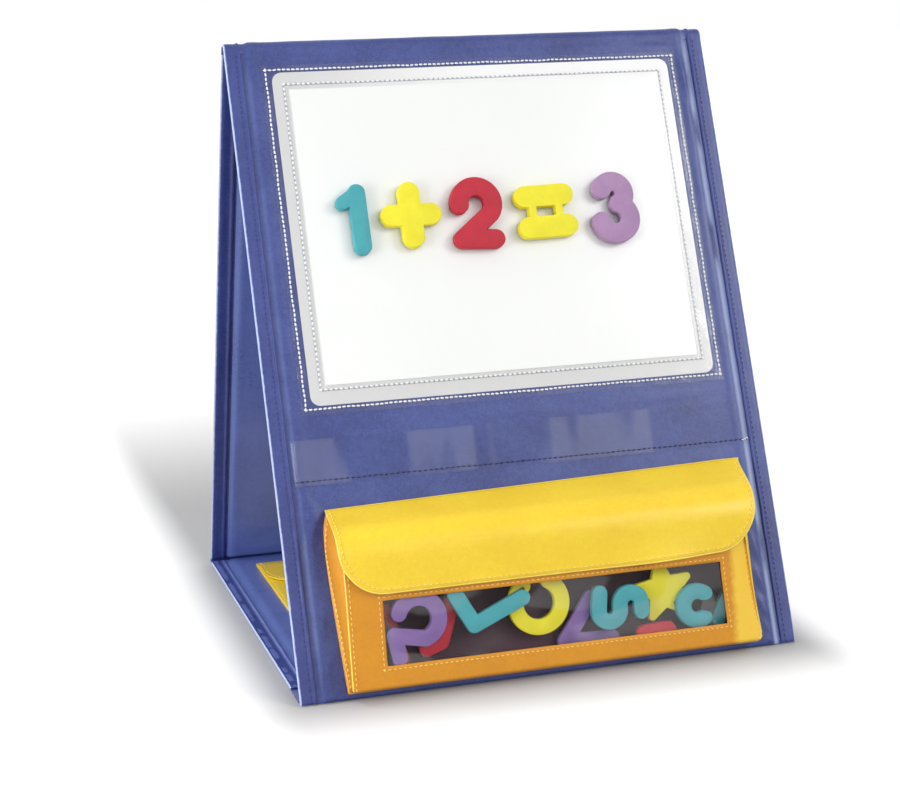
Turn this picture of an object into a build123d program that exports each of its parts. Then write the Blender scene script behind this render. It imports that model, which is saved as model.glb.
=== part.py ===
from build123d import *
from math import asin, atan2, cos, degrees, hypot, pi, sin
import os

# A folding tabletop pocket chart. Millimetres, +Z up, the board side faces -Y.
# The origin is on the table, under the middle of the chart.

# Panels
panel_width = 305.0
panel_length = 385.0  # from the top fold's axis to the front panel's foot, along the slope
foot_spread = 285.0  # between the feet of the two leaning panels
board_thickness = 2.4
cover_ply = 0.5
closing_gap = 3.0  # left between the two inner faces when the chart is folded flat
board_side_margin = 14.5
board_end_margin = 4.0
shoulder_run = 3.0  # where the cover slopes down from the board to the flange

# Edge tape
tape_width = 9.6
tape_ply = 0.7
tape_ridge_width = 1.6
tape_ridge_height = 0.4
tape_edge_radius = 0.6

# Folds
fold_ply = 0.6
top_land = 3.0  # straight run of the top fold down each panel
rear_fold_radius = 3.2
rear_fold_clearance = 0.7  # between the back panel's foot and the base
outer_fold_gap = 2.0  # between back and base when the base is folded round behind

# Dry-erase board
board_face_width = 252.0
board_face_height = 201.0
board_face_top = 16.0
board_face_ply = 0.5
board_face_radius = 6.0
field_width = 232.0
field_height = 178.0
field_rise = 0.5
field_radius = 3.0
steel_thickness = 0.4
steel_inset = 1.0
clear_film = 0.3
clear_cover_width = 264.0
clear_cover_height = 211.0

# Clear strip pockets
strip_side_gap = 1.9  # from the strips' ends to the edge tape
strip_top = 236.0
strip_height = 27.0
strip_seam = 3.5
strip_mouth = 0.8
back_pocket_height = 62.0
back_pocket_first = 28.0
back_pocket_pitch = 86.0
back_pocket_count = 4

# Front pouch
pouch_ply = 0.6
pouch_back_width = 257.0
pouch_front_width = 248.0
pouch_top = 271.0
pouch_bottom = 382.0
pouch_bottom_depth = 10.5
pouch_mouth_level = 300.0
pouch_mouth_depth = 27.0
pouch_bottom_radius = 5.0
pouch_bottom_setback = 1.0
gusset_bow = 3.0  # how far the gusset's crease stands out at the mouth
gusset_lap = 4.0  # how far its seam on the panel stands out beyond the pouch front
window_width = 207.0
window_height = 37.0
window_bottom = 11.8  # above the pouch front's lower bend
window_lap = 5.5

# Pouch flap
flap_width = 250.0
flap_hinge_level = 275.0
flap_edge_height = 53.0  # the free edge, above the pouch front's lower bend
flap_corner_radius = 24.0
flap_crest_radius = 10.0
flap_crest_overhang = 4.5
flap_bead_radius = 0.9
hook_thickness = 1.0
hook_gap = 0.2
closure_width = 60.0
closure_height = 14.0
closure_height_above_edge = 4.0

# Base
tab_reach = 25.0  # limp vinyl from the base board's end to the front panel
base_start = 6.0
apron_ply = 1.0
leaf_ply = 1.0
leaf_length = 20.0
leaf_width = 290.0
crease_radius = 0.8
crease_height = 1.4
base_pouch_width = 250.0
base_pouch_start = 28.0
base_pouch_length = 107.0
base_pouch_mouth = 12.0  # from the pouch's rear edge to its mouth
base_pouch_slack = 1.2
base_pouch_seam = 4.0
base_flap_length = 56.0
base_flap_rise = 0.4

# Foam numbers on the board
foam_thickness = 5.6
magnet_thickness = 1.0
magnet_inset = 0.4
magnet_gap = 0.1
bow_snips = 6  # straight cuts that follow one curved stroke of a magnet
number_height = 43.6
drawing_unit = 1.0  # the foam shapes are drawn in this unit
number_stroke = 11.4

# Loose foam pieces in the pouch
loose_thickness = 4.2
loose_magnet_thickness = 0.8
loose_stroke = 9.2
loose_gap = 0.3

running_gap = 0.3
touch = 0.02

# Worked out from the sizes above
lean = asin(foot_spread / 2 / panel_length)
panel_thickness = board_thickness + 2 * cover_ply
inner_face = closing_gap / 2
outer_face = inner_face + panel_thickness
middle = (inner_face + outer_face) / 2
axis_height = panel_length * cos(lean) - inner_face * sin(lean)
corner_y = (outer_face + axis_height * sin(lean)) / cos(lean)
front_foot_y = -(inner_face * cos(lean) + panel_length * sin(lean))
base_depth = corner_y - front_foot_y
clear_foot = panel_thickness + rear_fold_clearance
back_length = (axis_height + inner_face * sin(lean) - clear_foot) / cos(lean)
half_width = panel_width / 2
board_half = half_width - board_side_margin
flange_half = half_width - tape_ply
tape_inner = half_width - tape_width
strip_width = 2 * (tape_inner - strip_side_gap)

# Each panel is drawn flat: X across, Y up the slope to its fold, Z out of the chart
front_plane = Plane(
    origin=(0, 0, axis_height), x_dir=(1, 0, 0), z_dir=(0, -cos(lean), sin(lean))
)
back_plane = Plane(
    origin=(0, 0, axis_height), x_dir=(-1, 0, 0), z_dir=(0, cos(lean), sin(lean))
)
base_plane = Plane(origin=(0, corner_y, outer_face), x_dir=(-1, 0, 0), z_dir=(0, 0, -1))
base_top_plane = Plane(
    origin=(0, corner_y, panel_thickness), x_dir=(1, 0, 0), z_dir=(0, 0, 1)
)


def slab(width, level_from, level_to, low, high):
    """A flat piece, its levels measured down the slope from the fold."""
    length = level_to - level_from
    place = Pos(0, -(level_from + level_to) / 2, (low + high) / 2)
    return place * Box(width, length, high - low)


def rounded_slab(width, height, radius, level_middle, low, thickness):
    """A flat piece with rounded corners."""
    outline = Pos(0, -level_middle, low) * RectangleRounded(width, height, radius)
    return extrude(outline, thickness)


def across(profile, width):
    """Draw a side profile, given as (Y, Z), out to both sides."""
    return extrude(Plane.YZ * profile, width / 2, both=True)


def bent_sheet(points, bend_radius, thickness):
    """The side profile of a sheet whose middle follows the points."""
    return SlotArc(FilletPolyline(*points, radius=bend_radius), thickness)


# Panels


def sleeve_section():
    """The cover's cross-section: full over the board, thin at the sewn flange."""
    shoulder_top = board_half + cover_ply
    shoulder_foot = shoulder_top + shoulder_run
    right_side = [
        (shoulder_top, inner_face),
        (shoulder_foot, middle - cover_ply),
        (flange_half, middle - cover_ply),
        (flange_half, middle + cover_ply),
        (shoulder_foot, middle + cover_ply),
        (shoulder_top, outer_face),
    ]
    left_side = [(-x, z) for x, z in reversed(right_side)]
    return make_face(Polyline(*right_side, *left_side, close=True))


def tape_section():
    """Binding tape folded round the right-hand flange, its inner edges turned under."""
    half = cover_ply + tape_ply
    ridge = half + tape_ridge_height
    ridge_foot = tape_inner + tape_ridge_width
    upper = [
        (half_width, middle + half),
        (ridge_foot, middle + half),
        (ridge_foot, middle + ridge),
        (tape_inner, middle + ridge),
        (tape_inner, middle + cover_ply),
        (flange_half, middle + cover_ply),
    ]
    lower = [(x, 2 * middle - z) for x, z in reversed(upper)]
    face = make_face(Polyline(*upper, *lower, close=True))
    edge = face.vertices().sort_by(Axis.X)[-2:]
    return fillet(edge, tape_edge_radius)


def panel(level_from, level_to):
    """Stiff board, sleeve and the two edge tapes of one panel."""
    length = level_to - level_from
    start = Pos(0, -level_from, 0)
    low = inner_face + cover_ply
    board = slab(
        2 * board_half,
        level_from + board_end_margin,
        level_to - board_end_margin,
        low,
        low + board_thickness,
    )
    sleeve = start * extrude(Plane.XZ * sleeve_section(), length) - board
    right = start * extrude(Plane.XZ * tape_section(), length)
    return board, sleeve, mirror(right, Plane.YZ), right


def top_fold():
    """The vinyl over the top, round the fold's axis, with a land on each panel."""
    bends = []
    for radius in (outer_face, outer_face - fold_ply):
        front_tangent = Vector(-radius * cos(lean), radius * sin(lean))
        front_end = front_tangent + Vector(-sin(lean), -cos(lean)) * top_land
        back_tangent = Vector(radius * cos(lean), radius * sin(lean))
        back_end = back_tangent + Vector(sin(lean), -cos(lean)) * top_land
        bends.append((front_end, front_tangent, Vector(0, radius), back_tangent, back_end))
    outer, inner = bends
    outline = (
        Line(outer[0], outer[1])
        + ThreePointArc(outer[1], outer[2], outer[3])
        + Line(outer[3], outer[4])
        + Line(outer[4], inner[4])
        + Line(inner[4], inner[3])
        + ThreePointArc(inner[3], inner[2], inner[1])
        + Line(inner[1], inner[0])
        + Line(inner[0], outer[0])
    )
    profile = make_face(outline)
    return Pos(0, 0, axis_height) * across(profile, panel_width)


def rear_fold():
    """The vinyl round the rear foot, from the back panel's face to under the base."""
    back_end_height = axis_height + outer_face * sin(lean) - back_length * cos(lean)
    along_back = Vector(-sin(lean), cos(lean)) * (back_end_height / cos(lean))
    into_chart = Vector(-cos(lean), -sin(lean)) * fold_ply
    corner_shift = fold_ply * (1 + sin(lean)) / cos(lean)
    corner = Vector(corner_y, 0)
    top = corner + along_back
    points = [
        corner,
        corner - Vector(base_start, 0),
        corner - Vector(base_start, -fold_ply),
        corner - Vector(corner_shift, -fold_ply),
        top + into_chart,
        top,
    ]
    face = make_face(Polyline(*points, close=True))
    bends = face.vertices().sort_by_distance((corner_y, 0))
    face = fillet(bends[1], rear_fold_radius)
    face = fillet(face.vertices().sort_by_distance((corner_y, 0))[0], rear_fold_radius + fold_ply)
    return across(face, panel_width)


front_board, front_cover, front_binding_left, front_binding_right = [
    front_plane * piece for piece in panel(top_land, panel_length)
]
back_board, back_cover, back_binding_left, back_binding_right = [
    back_plane * piece for piece in panel(top_land, back_length)
]
base_board, base_cover, base_binding_left, base_binding_right = [
    base_plane * piece for piece in panel(base_start, base_depth - tab_reach)
]
top_hinge = top_fold()
rear_hinge = rear_fold()

# Dry-erase board: steel sheet, white face with a raised field, clear cover
board_middle = board_face_top + board_face_height / 2
steel_flat = rounded_slab(
    field_width - 2 * steel_inset,
    field_height - 2 * steel_inset,
    field_radius,
    board_middle,
    outer_face,
    steel_thickness,
)
white_flat = (
    rounded_slab(
        board_face_width,
        board_face_height,
        board_face_radius,
        board_middle,
        outer_face,
        board_face_ply,
    )
    + rounded_slab(
        field_width,
        field_height,
        field_radius,
        board_middle,
        outer_face,
        board_face_ply + field_rise,
    )
    - steel_flat
)
clear_flat = (
    rounded_slab(
        clear_cover_width,
        clear_cover_height,
        board_face_radius,
        board_middle,
        outer_face,
        clear_film,
    )
    + rounded_slab(
        board_face_width + 2 * clear_film,
        board_face_height + 2 * clear_film,
        board_face_radius + clear_film,
        board_middle,
        outer_face,
        board_face_ply + clear_film,
    )
    + rounded_slab(
        field_width + 2 * clear_film,
        field_height + 2 * clear_film,
        field_radius + clear_film,
        board_middle,
        outer_face,
        board_face_ply + field_rise + clear_film,
    )
    - white_flat
    - steel_flat
)
steel_sheet = front_plane * steel_flat
white_board = front_plane * white_flat
board_cover = front_plane * clear_flat
board_surface = outer_face + board_face_ply + field_rise + clear_film


# Clear pockets


def clear_strip(level_top, height):
    """A clear strip sewn along its lower edge, its mouth standing a little open."""
    seam_top = level_top + height - strip_seam
    points = [
        (-(level_top + height), outer_face),
        (-seam_top, outer_face),
        (-level_top, outer_face + strip_mouth),
        (-level_top, outer_face + strip_mouth + clear_film),
        (-seam_top, outer_face + clear_film),
        (-(level_top + height), outer_face + clear_film),
    ]
    return across(make_face(Polyline(*points, close=True)), strip_width)


strip_pocket = front_plane * clear_strip(strip_top, strip_height)
back_pockets = [
    back_plane * clear_strip(back_pocket_first + row * back_pocket_pitch, back_pocket_height)
    for row in range(back_pocket_count)
]

# Front pouch: back, front with its window opening, window, two creased gussets
pouch_seat = outer_face + pouch_ply
pouch_back = front_plane * slab(
    pouch_back_width, pouch_top, pouch_bottom, outer_face, pouch_seat
)
seam_point = (-pouch_bottom + pouch_ply / 2, pouch_seat + pouch_ply / 2)
bend_point = (-(pouch_bottom - pouch_bottom_setback), pouch_seat + pouch_bottom_depth)
mouth_point = (-pouch_mouth_level, pouch_seat + pouch_mouth_depth)
face_run = mouth_point[0] - bend_point[0]
face_rise = mouth_point[1] - bend_point[1]
face_length = hypot(face_run, face_rise)
face_tilt = atan2(face_rise, face_run)
# The pouch front's own plane: X across, Y up from its lower bend, Z outwards
face_plane = Plane(
    origin=(0, *bend_point), x_dir=(1, 0, 0), z_dir=(0, -sin(face_tilt), cos(face_tilt))
)
half_ply = pouch_ply / 2


def face_slab(width, bottom, top, low, high):
    """A flat piece parallel to the pouch front."""
    place = Pos(0, (bottom + top) / 2, (low + high) / 2)
    return face_plane * place * Box(width, top - bottom, high - low)


front_sheet = across(
    bent_sheet([seam_point, bend_point, mouth_point], pouch_bottom_radius, pouch_ply),
    pouch_front_width,
)
window_opening = face_slab(
    window_width, window_bottom, window_bottom + window_height, -pouch_ply, pouch_ply
)
pouch_front = front_plane * (front_sheet - window_opening)
pouch_window = front_plane * face_slab(
    window_width + 2 * window_lap,
    window_bottom - window_lap,
    window_bottom + window_height + window_lap,
    -half_ply - clear_film,
    -half_ply,
)


def gusset_depth(level):
    """Room between the pouch's back and its front at one level."""
    run_up = -level - bend_point[0]
    front_middle = bend_point[1] + run_up * face_rise / face_run
    return front_middle - half_ply / cos(face_tilt) - touch - pouch_seat


def gusset_edges(level):
    """The side wall's front edge, crease and back edge at one level."""
    depth = gusset_depth(level)
    share = depth / gusset_depth(pouch_mouth_level)
    front_x = pouch_front_width / 2 - pouch_ply
    front_edge = Vector(front_x, -level, pouch_seat + depth)
    crease = Vector(front_x + (gusset_lap / 2 + gusset_bow) * share, -level, pouch_seat + depth / 2)
    back_edge = Vector(front_x + gusset_lap * share, -level, pouch_seat)
    return front_edge, crease, back_edge


def gusset():
    """The right-hand side wall: two flat wings whose edges would meet under the pouch."""
    top = gusset_edges(pouch_mouth_level + 2 * pouch_ply)
    bottom = gusset_edges(pouch_bottom - pouch_bottom_radius - 2 * pouch_ply)
    wings = Part()
    for edge in (0, 1):
        corners = [top[edge], top[edge + 1], bottom[edge + 1], bottom[edge]]
        face = make_face(Polyline(*corners, close=True))
        wings += extrude(face, pouch_ply, dir=(1, 0, 0))
    return wings


gusset_flat = gusset()
pouch_gusset_right = front_plane * gusset_flat
pouch_gusset_left = front_plane * mirror(gusset_flat, Plane.YZ)

# Pouch flap, hinged on a bead along the pouch's top edge
flap_lift = pouch_ply + 2 * hook_thickness + hook_gap
flap_axis = (-flap_hinge_level, pouch_seat + flap_bead_radius + running_gap)
crest = face_plane.from_local_coords(
    Vector(0, face_length + flap_crest_overhang, flap_lift)
)
flap_edge = face_plane.from_local_coords(Vector(0, flap_edge_height, flap_lift))
flap_profile = bent_sheet(
    [flap_axis, (crest.Y, crest.Z), (flap_edge.Y, flap_edge.Z)],
    flap_crest_radius,
    pouch_ply,
) + Pos(*flap_axis) * Circle(flap_bead_radius)
outline_height = 2 * face_length
outline = Pos(0, outline_height / 2 + flap_edge_height) * Rectangle(
    flap_width, outline_height
)
outline = fillet(outline.vertices().sort_by(Axis.Y)[:2], flap_corner_radius)
flap_outline = face_plane * Pos(0, 0, -face_length) * extrude(outline, 2 * face_length)
pouch_flap = front_plane * (across(flap_profile, flap_width) & flap_outline)
closure_bottom = flap_edge_height + closure_height_above_edge
closure_top = closure_bottom + closure_height
pouch_loop_strip = front_plane * face_slab(
    closure_width, closure_bottom, closure_top, half_ply, half_ply + hook_thickness
)
flap_underside = flap_lift - half_ply
flap_hook_strip = front_plane * face_slab(
    closure_width, closure_bottom, closure_top, flap_underside - hook_thickness, flap_underside
)

# Base closure: limp apron on the table, leaf turned up behind the front panel
leaf_back = inner_face - 2 * hook_thickness - hook_gap - leaf_ply
crease_level = (axis_height + leaf_back * sin(lean) - crease_height) / cos(lean)
crease_y = -(leaf_back * cos(lean) + crease_level * sin(lean))
apron_from = base_depth - tab_reach
apron_to = corner_y - crease_y - crease_radius - running_gap
base_apron = base_plane * slab(
    panel_width, apron_from, apron_to, outer_face - apron_ply, outer_face
)
crease_bead = (
    Pos(0, -crease_level, leaf_back)
    * Rot(0, 90, 0)
    * Cylinder(crease_radius, leaf_width)
)
leaf_top = crease_level - leaf_length
tab_leaf = front_plane * (
    slab(leaf_width, leaf_top, crease_level, leaf_back, leaf_back + leaf_ply) + crease_bead
)
strip_margin = 3.0
hook_low = leaf_back + leaf_ply
tab_hook_strip = front_plane * slab(
    leaf_width - 2 * strip_margin,
    leaf_top + strip_margin,
    crease_level - strip_margin,
    hook_low,
    hook_low + hook_thickness,
)
front_loop_strip = front_plane * slab(
    leaf_width - 2 * strip_margin,
    leaf_top + strip_margin,
    crease_level - strip_margin,
    inner_face - hook_thickness,
    inner_face,
)

# Base pouch: a flat envelope, open towards the rear, with its own flap
pouch_end = base_pouch_start + base_pouch_length
mouth = base_pouch_start + base_pouch_mouth
upper_low = pouch_ply + base_pouch_slack
envelope = slab(base_pouch_width, base_pouch_start, pouch_end, 0, pouch_ply) + slab(
    base_pouch_width, mouth, pouch_end, pouch_ply, upper_low + pouch_ply
)
pocket = slab(
    base_pouch_width - 2 * base_pouch_seam,
    mouth - touch,
    pouch_end - base_pouch_seam,
    pouch_ply,
    upper_low,
)
base_pouch = base_top_plane * (envelope - pocket)
base_flap_axis = (-(base_pouch_start + 2), pouch_ply + flap_bead_radius + running_gap)
base_flap_height = upper_low + pouch_ply + base_flap_rise + half_ply
base_flap_bend = (-mouth, base_flap_height)
base_flap_end = (-(base_pouch_start + base_flap_length), base_flap_height)
base_flap_profile = bent_sheet(
    [base_flap_axis, base_flap_bend, base_flap_end], flap_crest_radius, pouch_ply
) + Pos(*base_flap_axis) * Circle(flap_bead_radius)
base_outline = Pos(0, -base_pouch_start - base_flap_length / 2 + half_ply) * Rectangle(
    base_pouch_width, base_flap_length + pouch_ply
)
base_outline = fillet(base_outline.vertices().sort_by(Axis.Y)[:2], flap_corner_radius)
base_flap = base_top_plane * (
    across(base_flap_profile, base_pouch_width) & extrude(base_outline, base_flap_length)
)


# Foam pieces


def bar(start, end, width, square):
    """A straight stroke, with round ends unless it is square."""
    start = Vector(*start) * drawing_unit
    run = Vector(*end) * drawing_unit - start
    place = Pos(*(start + run / 2)) * Rot(0, 0, degrees(atan2(run.Y, run.X)))
    outline = Rectangle if square else SlotOverall
    return place * outline(run.length + width, width)


def bow(centre, radius, start_angle, sweep, width, square):
    """A stroke along an arc, with round ends unless it is square."""
    centre = Vector(*centre) * drawing_unit
    arc = CenterArc(centre, radius * drawing_unit, start_angle, sweep)
    if not square:
        return SlotArc(arc, width)
    snips = [arc @ (step / bow_snips) for step in range(bow_snips + 1)]
    return make_face(offset(Polyline(*snips), width / 2, kind=Kind.INTERSECTION, side=Side.BOTH))


def drawn(strokes, inset=0.0, square=False):
    """A foam shape: bars as (start, end, width), bows as (centre, radius, angle, sweep, width)."""
    shape = Sketch()
    for *line, width in strokes:
        pen = bar if len(line) == 2 else bow
        shape += pen(*line, width * drawing_unit - 2 * inset, square)
    return shape


reach = (number_height - number_stroke) / 2
two_bend = 10.4
three_top = 7.4
three_bottom = 9.4
figure_one = [
    ((3.4, -reach), (3.4, reach), number_stroke - 1),
    ((3.4, reach), (-5.4, reach - 5.4), number_stroke - 3),
]
plus_sign = [
    ((0, -13.4), (0, 13.4), number_stroke + 1.8),
    ((-12, 0), (12, 0), number_stroke + 1.8),
]
figure_two = [
    ((0, reach - two_bend), two_bend, 184, -222, number_stroke),
    ((8.1, reach - two_bend - 6.5), (-9.6, -reach), number_stroke),
    ((-9.6, -reach), (10.6, -reach), number_stroke),
]
equals_sign = [
    ((-12.4, 9.6), (12.0, 9.6), number_stroke + 1.6),
    ((-12.0, -9.6), (12.4, -9.6), number_stroke + 1.6),
    ((-8.4, -7.0), (-8.4, 7.0), 4.6),
    ((8.4, -7.0), (8.4, 7.0), 4.6),
]
figure_three = [
    ((-0.8, reach - three_top), three_top, 158, -218, number_stroke + 0.8),
    ((0.0, three_bottom - reach), three_bottom, 60, -225, number_stroke + 0.8),
]
loose_two = [
    ((-83.0, 36.0), 12.0, 160, -232, loose_stroke),
    ((-79.5, 24.4), (-98.0, 28.0), loose_stroke),
    ((-98.0, 28.0), (-95.5, 15.0), loose_stroke),
]
loose_corner = [
    ((-60.5, 47.0), (-50.5, 28.6), loose_stroke),
    ((-50.5, 28.6), (-21.0, 41.0), loose_stroke),
]
loose_curve = [
    ((26.0, 38.0), (24.9, 27.5), loose_stroke),
    ((31.5, 27.5), 6.6, 180, 180, loose_stroke),
    ((38.1, 27.5), (38.1, 30.0), loose_stroke),
    ((44.7, 30.0), 6.6, 180, -180, loose_stroke),
    ((51.3, 30.0), (51.3, 25.0), loose_stroke),
]
loose_spiral = [
    ((86.6, 24.0), 9.0, 25, 285, loose_stroke),
    ((93.0, 16.8), (94.5, 22.0), loose_stroke),
]
loose_minus = [((52.5, 11.3), (66.5, 11.8), loose_stroke + 1.6)]
loose_hook = [
    ((-61.0, 44.0), (-69.5, 20.5), loose_stroke),
    ((-69.5, 20.5), (-78.0, 17.5), loose_stroke),
]
loose_ring = [((-9.6, 36.0), 14.0, 130, 290, loose_stroke)]
loose_angle = [
    ((5.0, 11.6), (22.5, 35.5), loose_stroke),
    ((5.0, 11.6), (33.5, 11.0), loose_stroke),
]
loose_one = [((-101.5, 42.0), (-93.0, 13.0), loose_stroke)]
star_middle = Vector(67.8, 34.4)
star_tip = 19.0
star_notch = 9.8
star_rounding = 2.4
star_turn = 25.0
loose_bar = [((101.3, 14.5), (108.0, 25.0), loose_stroke)]


def star(inset=0.0, square=False):
    """A five-pointed star with rounded tips."""
    points = []
    for corner in range(10):
        radius = star_tip if corner % 2 == 0 else star_notch
        spoke = Vector(radius - star_rounding, 0).rotate(Axis.Z, star_turn + 36 * corner)
        points.append((star_middle + spoke) * drawing_unit)
    face = make_face(Polyline(*points, close=True))
    return face if square else offset(face, star_rounding * drawing_unit - inset)


def foam_piece(shape, place, low, magnet, foam):
    """A foam piece and the square-cut magnetic sheet behind it."""
    cut = shape if callable(shape) else lambda *options: drawn(shape, *options)
    backing = place * Pos(0, 0, low) * extrude(cut(magnet_inset, True), magnet)
    body = place * Pos(0, 0, low + magnet) * extrude(cut(), foam)
    return body, backing


number_level = 109.8
numbers = {}
for name, shape, x, level, turn in (
    ("one", figure_one, -88.6, number_level, 0.4),
    ("plus", plus_sign, -53.8, number_level - 1.0, 0.0),
    ("two", figure_two, -13.2, number_level, -3.0),
    ("equals", equals_sign, 30.2, number_level + 1.6, 1.4),
    ("three", figure_three, 74.6, number_level + 1.8, -3.0),
):
    place = front_plane * Pos(x, -level, 0) * Rot(0, 0, turn)
    numbers[name] = foam_piece(
        shape, place, board_surface + magnet_gap, magnet_thickness, foam_thickness
    )

# The loose pieces lie in two layers behind the window, coloured sides out
loose_total = loose_thickness + loose_magnet_thickness
first_layer = -(half_ply + clear_film + loose_gap + loose_total)
second_layer = first_layer - loose_gap - loose_total
loose_pieces = {}
loose_backs = []
for name, shape, low in (
    ("two", loose_two, first_layer),
    ("corner", loose_corner, first_layer),
    ("curve", loose_curve, first_layer),
    ("spiral", loose_spiral, first_layer),
    ("minus", loose_minus, first_layer),
    ("hook", loose_hook, second_layer),
    ("ring", loose_ring, second_layer),
    ("angle", loose_angle, second_layer),
    ("star", star, second_layer),
    ("bar", loose_bar, second_layer),
    ("one", loose_one, second_layer),
):
    body, backing = foam_piece(
        shape, front_plane * face_plane, low, loose_magnet_thickness, loose_thickness
    )
    loose_pieces[f"loose_{name}"] = body
    loose_backs.append(backing)

nodes = {
    "front_board": front_board,
    "front_cover": front_cover,
    "front_binding_left": front_binding_left,
    "front_binding_right": front_binding_right,
    "steel_sheet": steel_sheet,
    "white_board": white_board,
    "board_cover": board_cover,
    "strip_pocket": strip_pocket,
    "pouch_back": pouch_back,
    "pouch_front": pouch_front,
    "pouch_window": pouch_window,
    "pouch_gusset_left": pouch_gusset_left,
    "pouch_gusset_right": pouch_gusset_right,
    "pouch_loop_strip": pouch_loop_strip,
    "front_loop_strip": front_loop_strip,
    "pouch_flap": pouch_flap,
    "flap_hook_strip": flap_hook_strip,
    "back_board": back_board,
    "back_cover": back_cover,
    "back_binding_left": back_binding_left,
    "back_binding_right": back_binding_right,
    "top_hinge": top_hinge,
    "rear_hinge": rear_hinge,
    "base_board": base_board,
    "base_cover": base_cover,
    "base_binding_left": base_binding_left,
    "base_binding_right": base_binding_right,
    "base_apron": base_apron,
    "tab_leaf": tab_leaf,
    "tab_hook_strip": tab_hook_strip,
    "base_pouch": base_pouch,
    "base_flap": base_flap,
    "loose_magnets": Compound(children=[Compound(back.solids()) for back in loose_backs]),
}
for row, pocket_strip in enumerate(back_pockets, start=1):
    nodes[f"back_pocket_{row}"] = pocket_strip
for name, (body, backing) in numbers.items():
    nodes[f"foam_{name}"] = body
    nodes[f"magnet_{name}"] = backing
nodes.update(loose_pieces)

# Move the whole chart so that its box is centred on the origin
box = Compound(children=[Compound(piece.solids()) for piece in nodes.values()]).bounding_box()
shift = -(box.min.Y + box.max.Y) / 2
os.makedirs("parts", exist_ok=True)
for name, piece in nodes.items():
    export_step(Pos(0, shift, 0) * Compound(piece.solids()), f"parts/{name}.step")

flap_hinge = front_plane.from_local_coords(Vector(0, *flap_axis))
base_flap_hinge = base_top_plane.from_local_coords(Vector(0, *base_flap_axis))
half_outer_gap = outer_fold_gap / 2
rear_axis_y = corner_y + half_outer_gap * (1 + sin(lean)) / cos(lean)
print("nodes", len(nodes), "shift", round(shift, 4), "lean", round(degrees(lean), 4))
print("top axis", round(shift, 4), round(axis_height, 4))
print("rear axis", round(rear_axis_y + shift, 4), -half_outer_gap)
print("crease axis", round(crease_y + shift, 4), crease_height)
print("flap axis", round(flap_hinge.Y + shift, 4), round(flap_hinge.Z, 4))
print("base flap axis", round(base_flap_hinge.Y + shift, 4), round(base_flap_hinge.Z, 4))
print("box", box.size)
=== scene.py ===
import math

import bmesh
import bpy
from mathutils import Matrix, Vector, noise


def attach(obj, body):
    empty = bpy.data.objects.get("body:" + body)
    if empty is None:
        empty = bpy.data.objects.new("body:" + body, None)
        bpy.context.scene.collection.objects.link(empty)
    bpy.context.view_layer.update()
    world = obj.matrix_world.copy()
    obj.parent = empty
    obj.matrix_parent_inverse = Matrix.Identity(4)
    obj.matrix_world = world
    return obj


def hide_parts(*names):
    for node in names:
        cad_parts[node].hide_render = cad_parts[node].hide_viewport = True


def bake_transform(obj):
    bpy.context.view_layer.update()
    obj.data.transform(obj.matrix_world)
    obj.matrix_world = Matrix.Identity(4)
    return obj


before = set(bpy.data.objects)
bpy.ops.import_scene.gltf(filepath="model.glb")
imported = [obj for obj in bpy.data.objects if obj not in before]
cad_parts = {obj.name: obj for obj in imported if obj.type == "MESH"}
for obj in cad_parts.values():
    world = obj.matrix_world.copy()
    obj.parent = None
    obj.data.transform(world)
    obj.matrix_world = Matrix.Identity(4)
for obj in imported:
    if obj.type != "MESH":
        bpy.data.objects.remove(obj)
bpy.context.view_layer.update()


# Blue sleeves. Each of the three panels is a stiff chipboard in a sleeve of blue PVC vinyl.
# The vinyl is smooth and satin with a fine grain. It is welded flat along both long sides,
# where it drops from the board over a soft shoulder, and it puckers wherever it is sewn.
lean = math.radians(21.7236)
slope_sin = math.sin(lean)
slope_cos = math.cos(lean)
fold_y = 4.9194
fold_z = 357.1021
rear_corner_y = 152.47


def on_front(x, level, out):
    """Across, down the slope from the top fold, and out of the chart's inside, in mm."""
    y = fold_y - slope_sin * level - slope_cos * out
    z = fold_z - slope_cos * level + slope_sin * out
    return Vector((x, y, z)) / 1000


def on_back(x, level, out):
    y = fold_y + slope_sin * level + slope_cos * out
    z = fold_z - slope_cos * level + slope_sin * out
    return Vector((-x, y, z)) / 1000


def on_base(x, level, out):
    return Vector((-x, rear_corner_y - level, 4.9 - out)) / 1000


def paint(red, green, blue):
    """A colour as it looks on a screen, 0 to 255, as the light values that Blender mixes."""
    def light(value):
        value /= 255
        return value / 12.92 if value <= 0.04045 else ((value + 0.055) / 1.055) ** 2.4

    return (light(red), light(green), light(blue), 1.0)


class Shade:
    """One output of a node. A sum on it adds a Math node."""

    def __init__(self, nodes, output):
        self.nodes = nodes
        self.output = output

    def maths(self, operation, *values):
        return self.nodes.add("ShaderNodeMath", dict(enumerate(values)), operation=operation)

    def __add__(self, other):
        return self.maths("ADD", self, other)

    __radd__ = __add__

    def __sub__(self, other):
        return self.maths("SUBTRACT", self, other)

    def __rsub__(self, other):
        return self.maths("SUBTRACT", other, self)

    def __mul__(self, other):
        return self.maths("MULTIPLY", self, other)

    __rmul__ = __mul__

    def __truediv__(self, other):
        return self.maths("DIVIDE", self, other)

    def __pow__(self, other):
        return self.maths("POWER", self, other)

    def __abs__(self):
        return self.maths("ABSOLUTE", self)

    def most(self, other):
        """The larger of the two."""
        return self.maths("MAXIMUM", self, other)

    def above(self, level, softness):
        """0 below the level and 1 above it, with a soft step between."""
        span = {"Value": self, "From Min": level - softness, "From Max": level + softness}
        return self.nodes.add("ShaderNodeMapRange", span, interpolation_type="SMOOTHSTEP")


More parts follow.
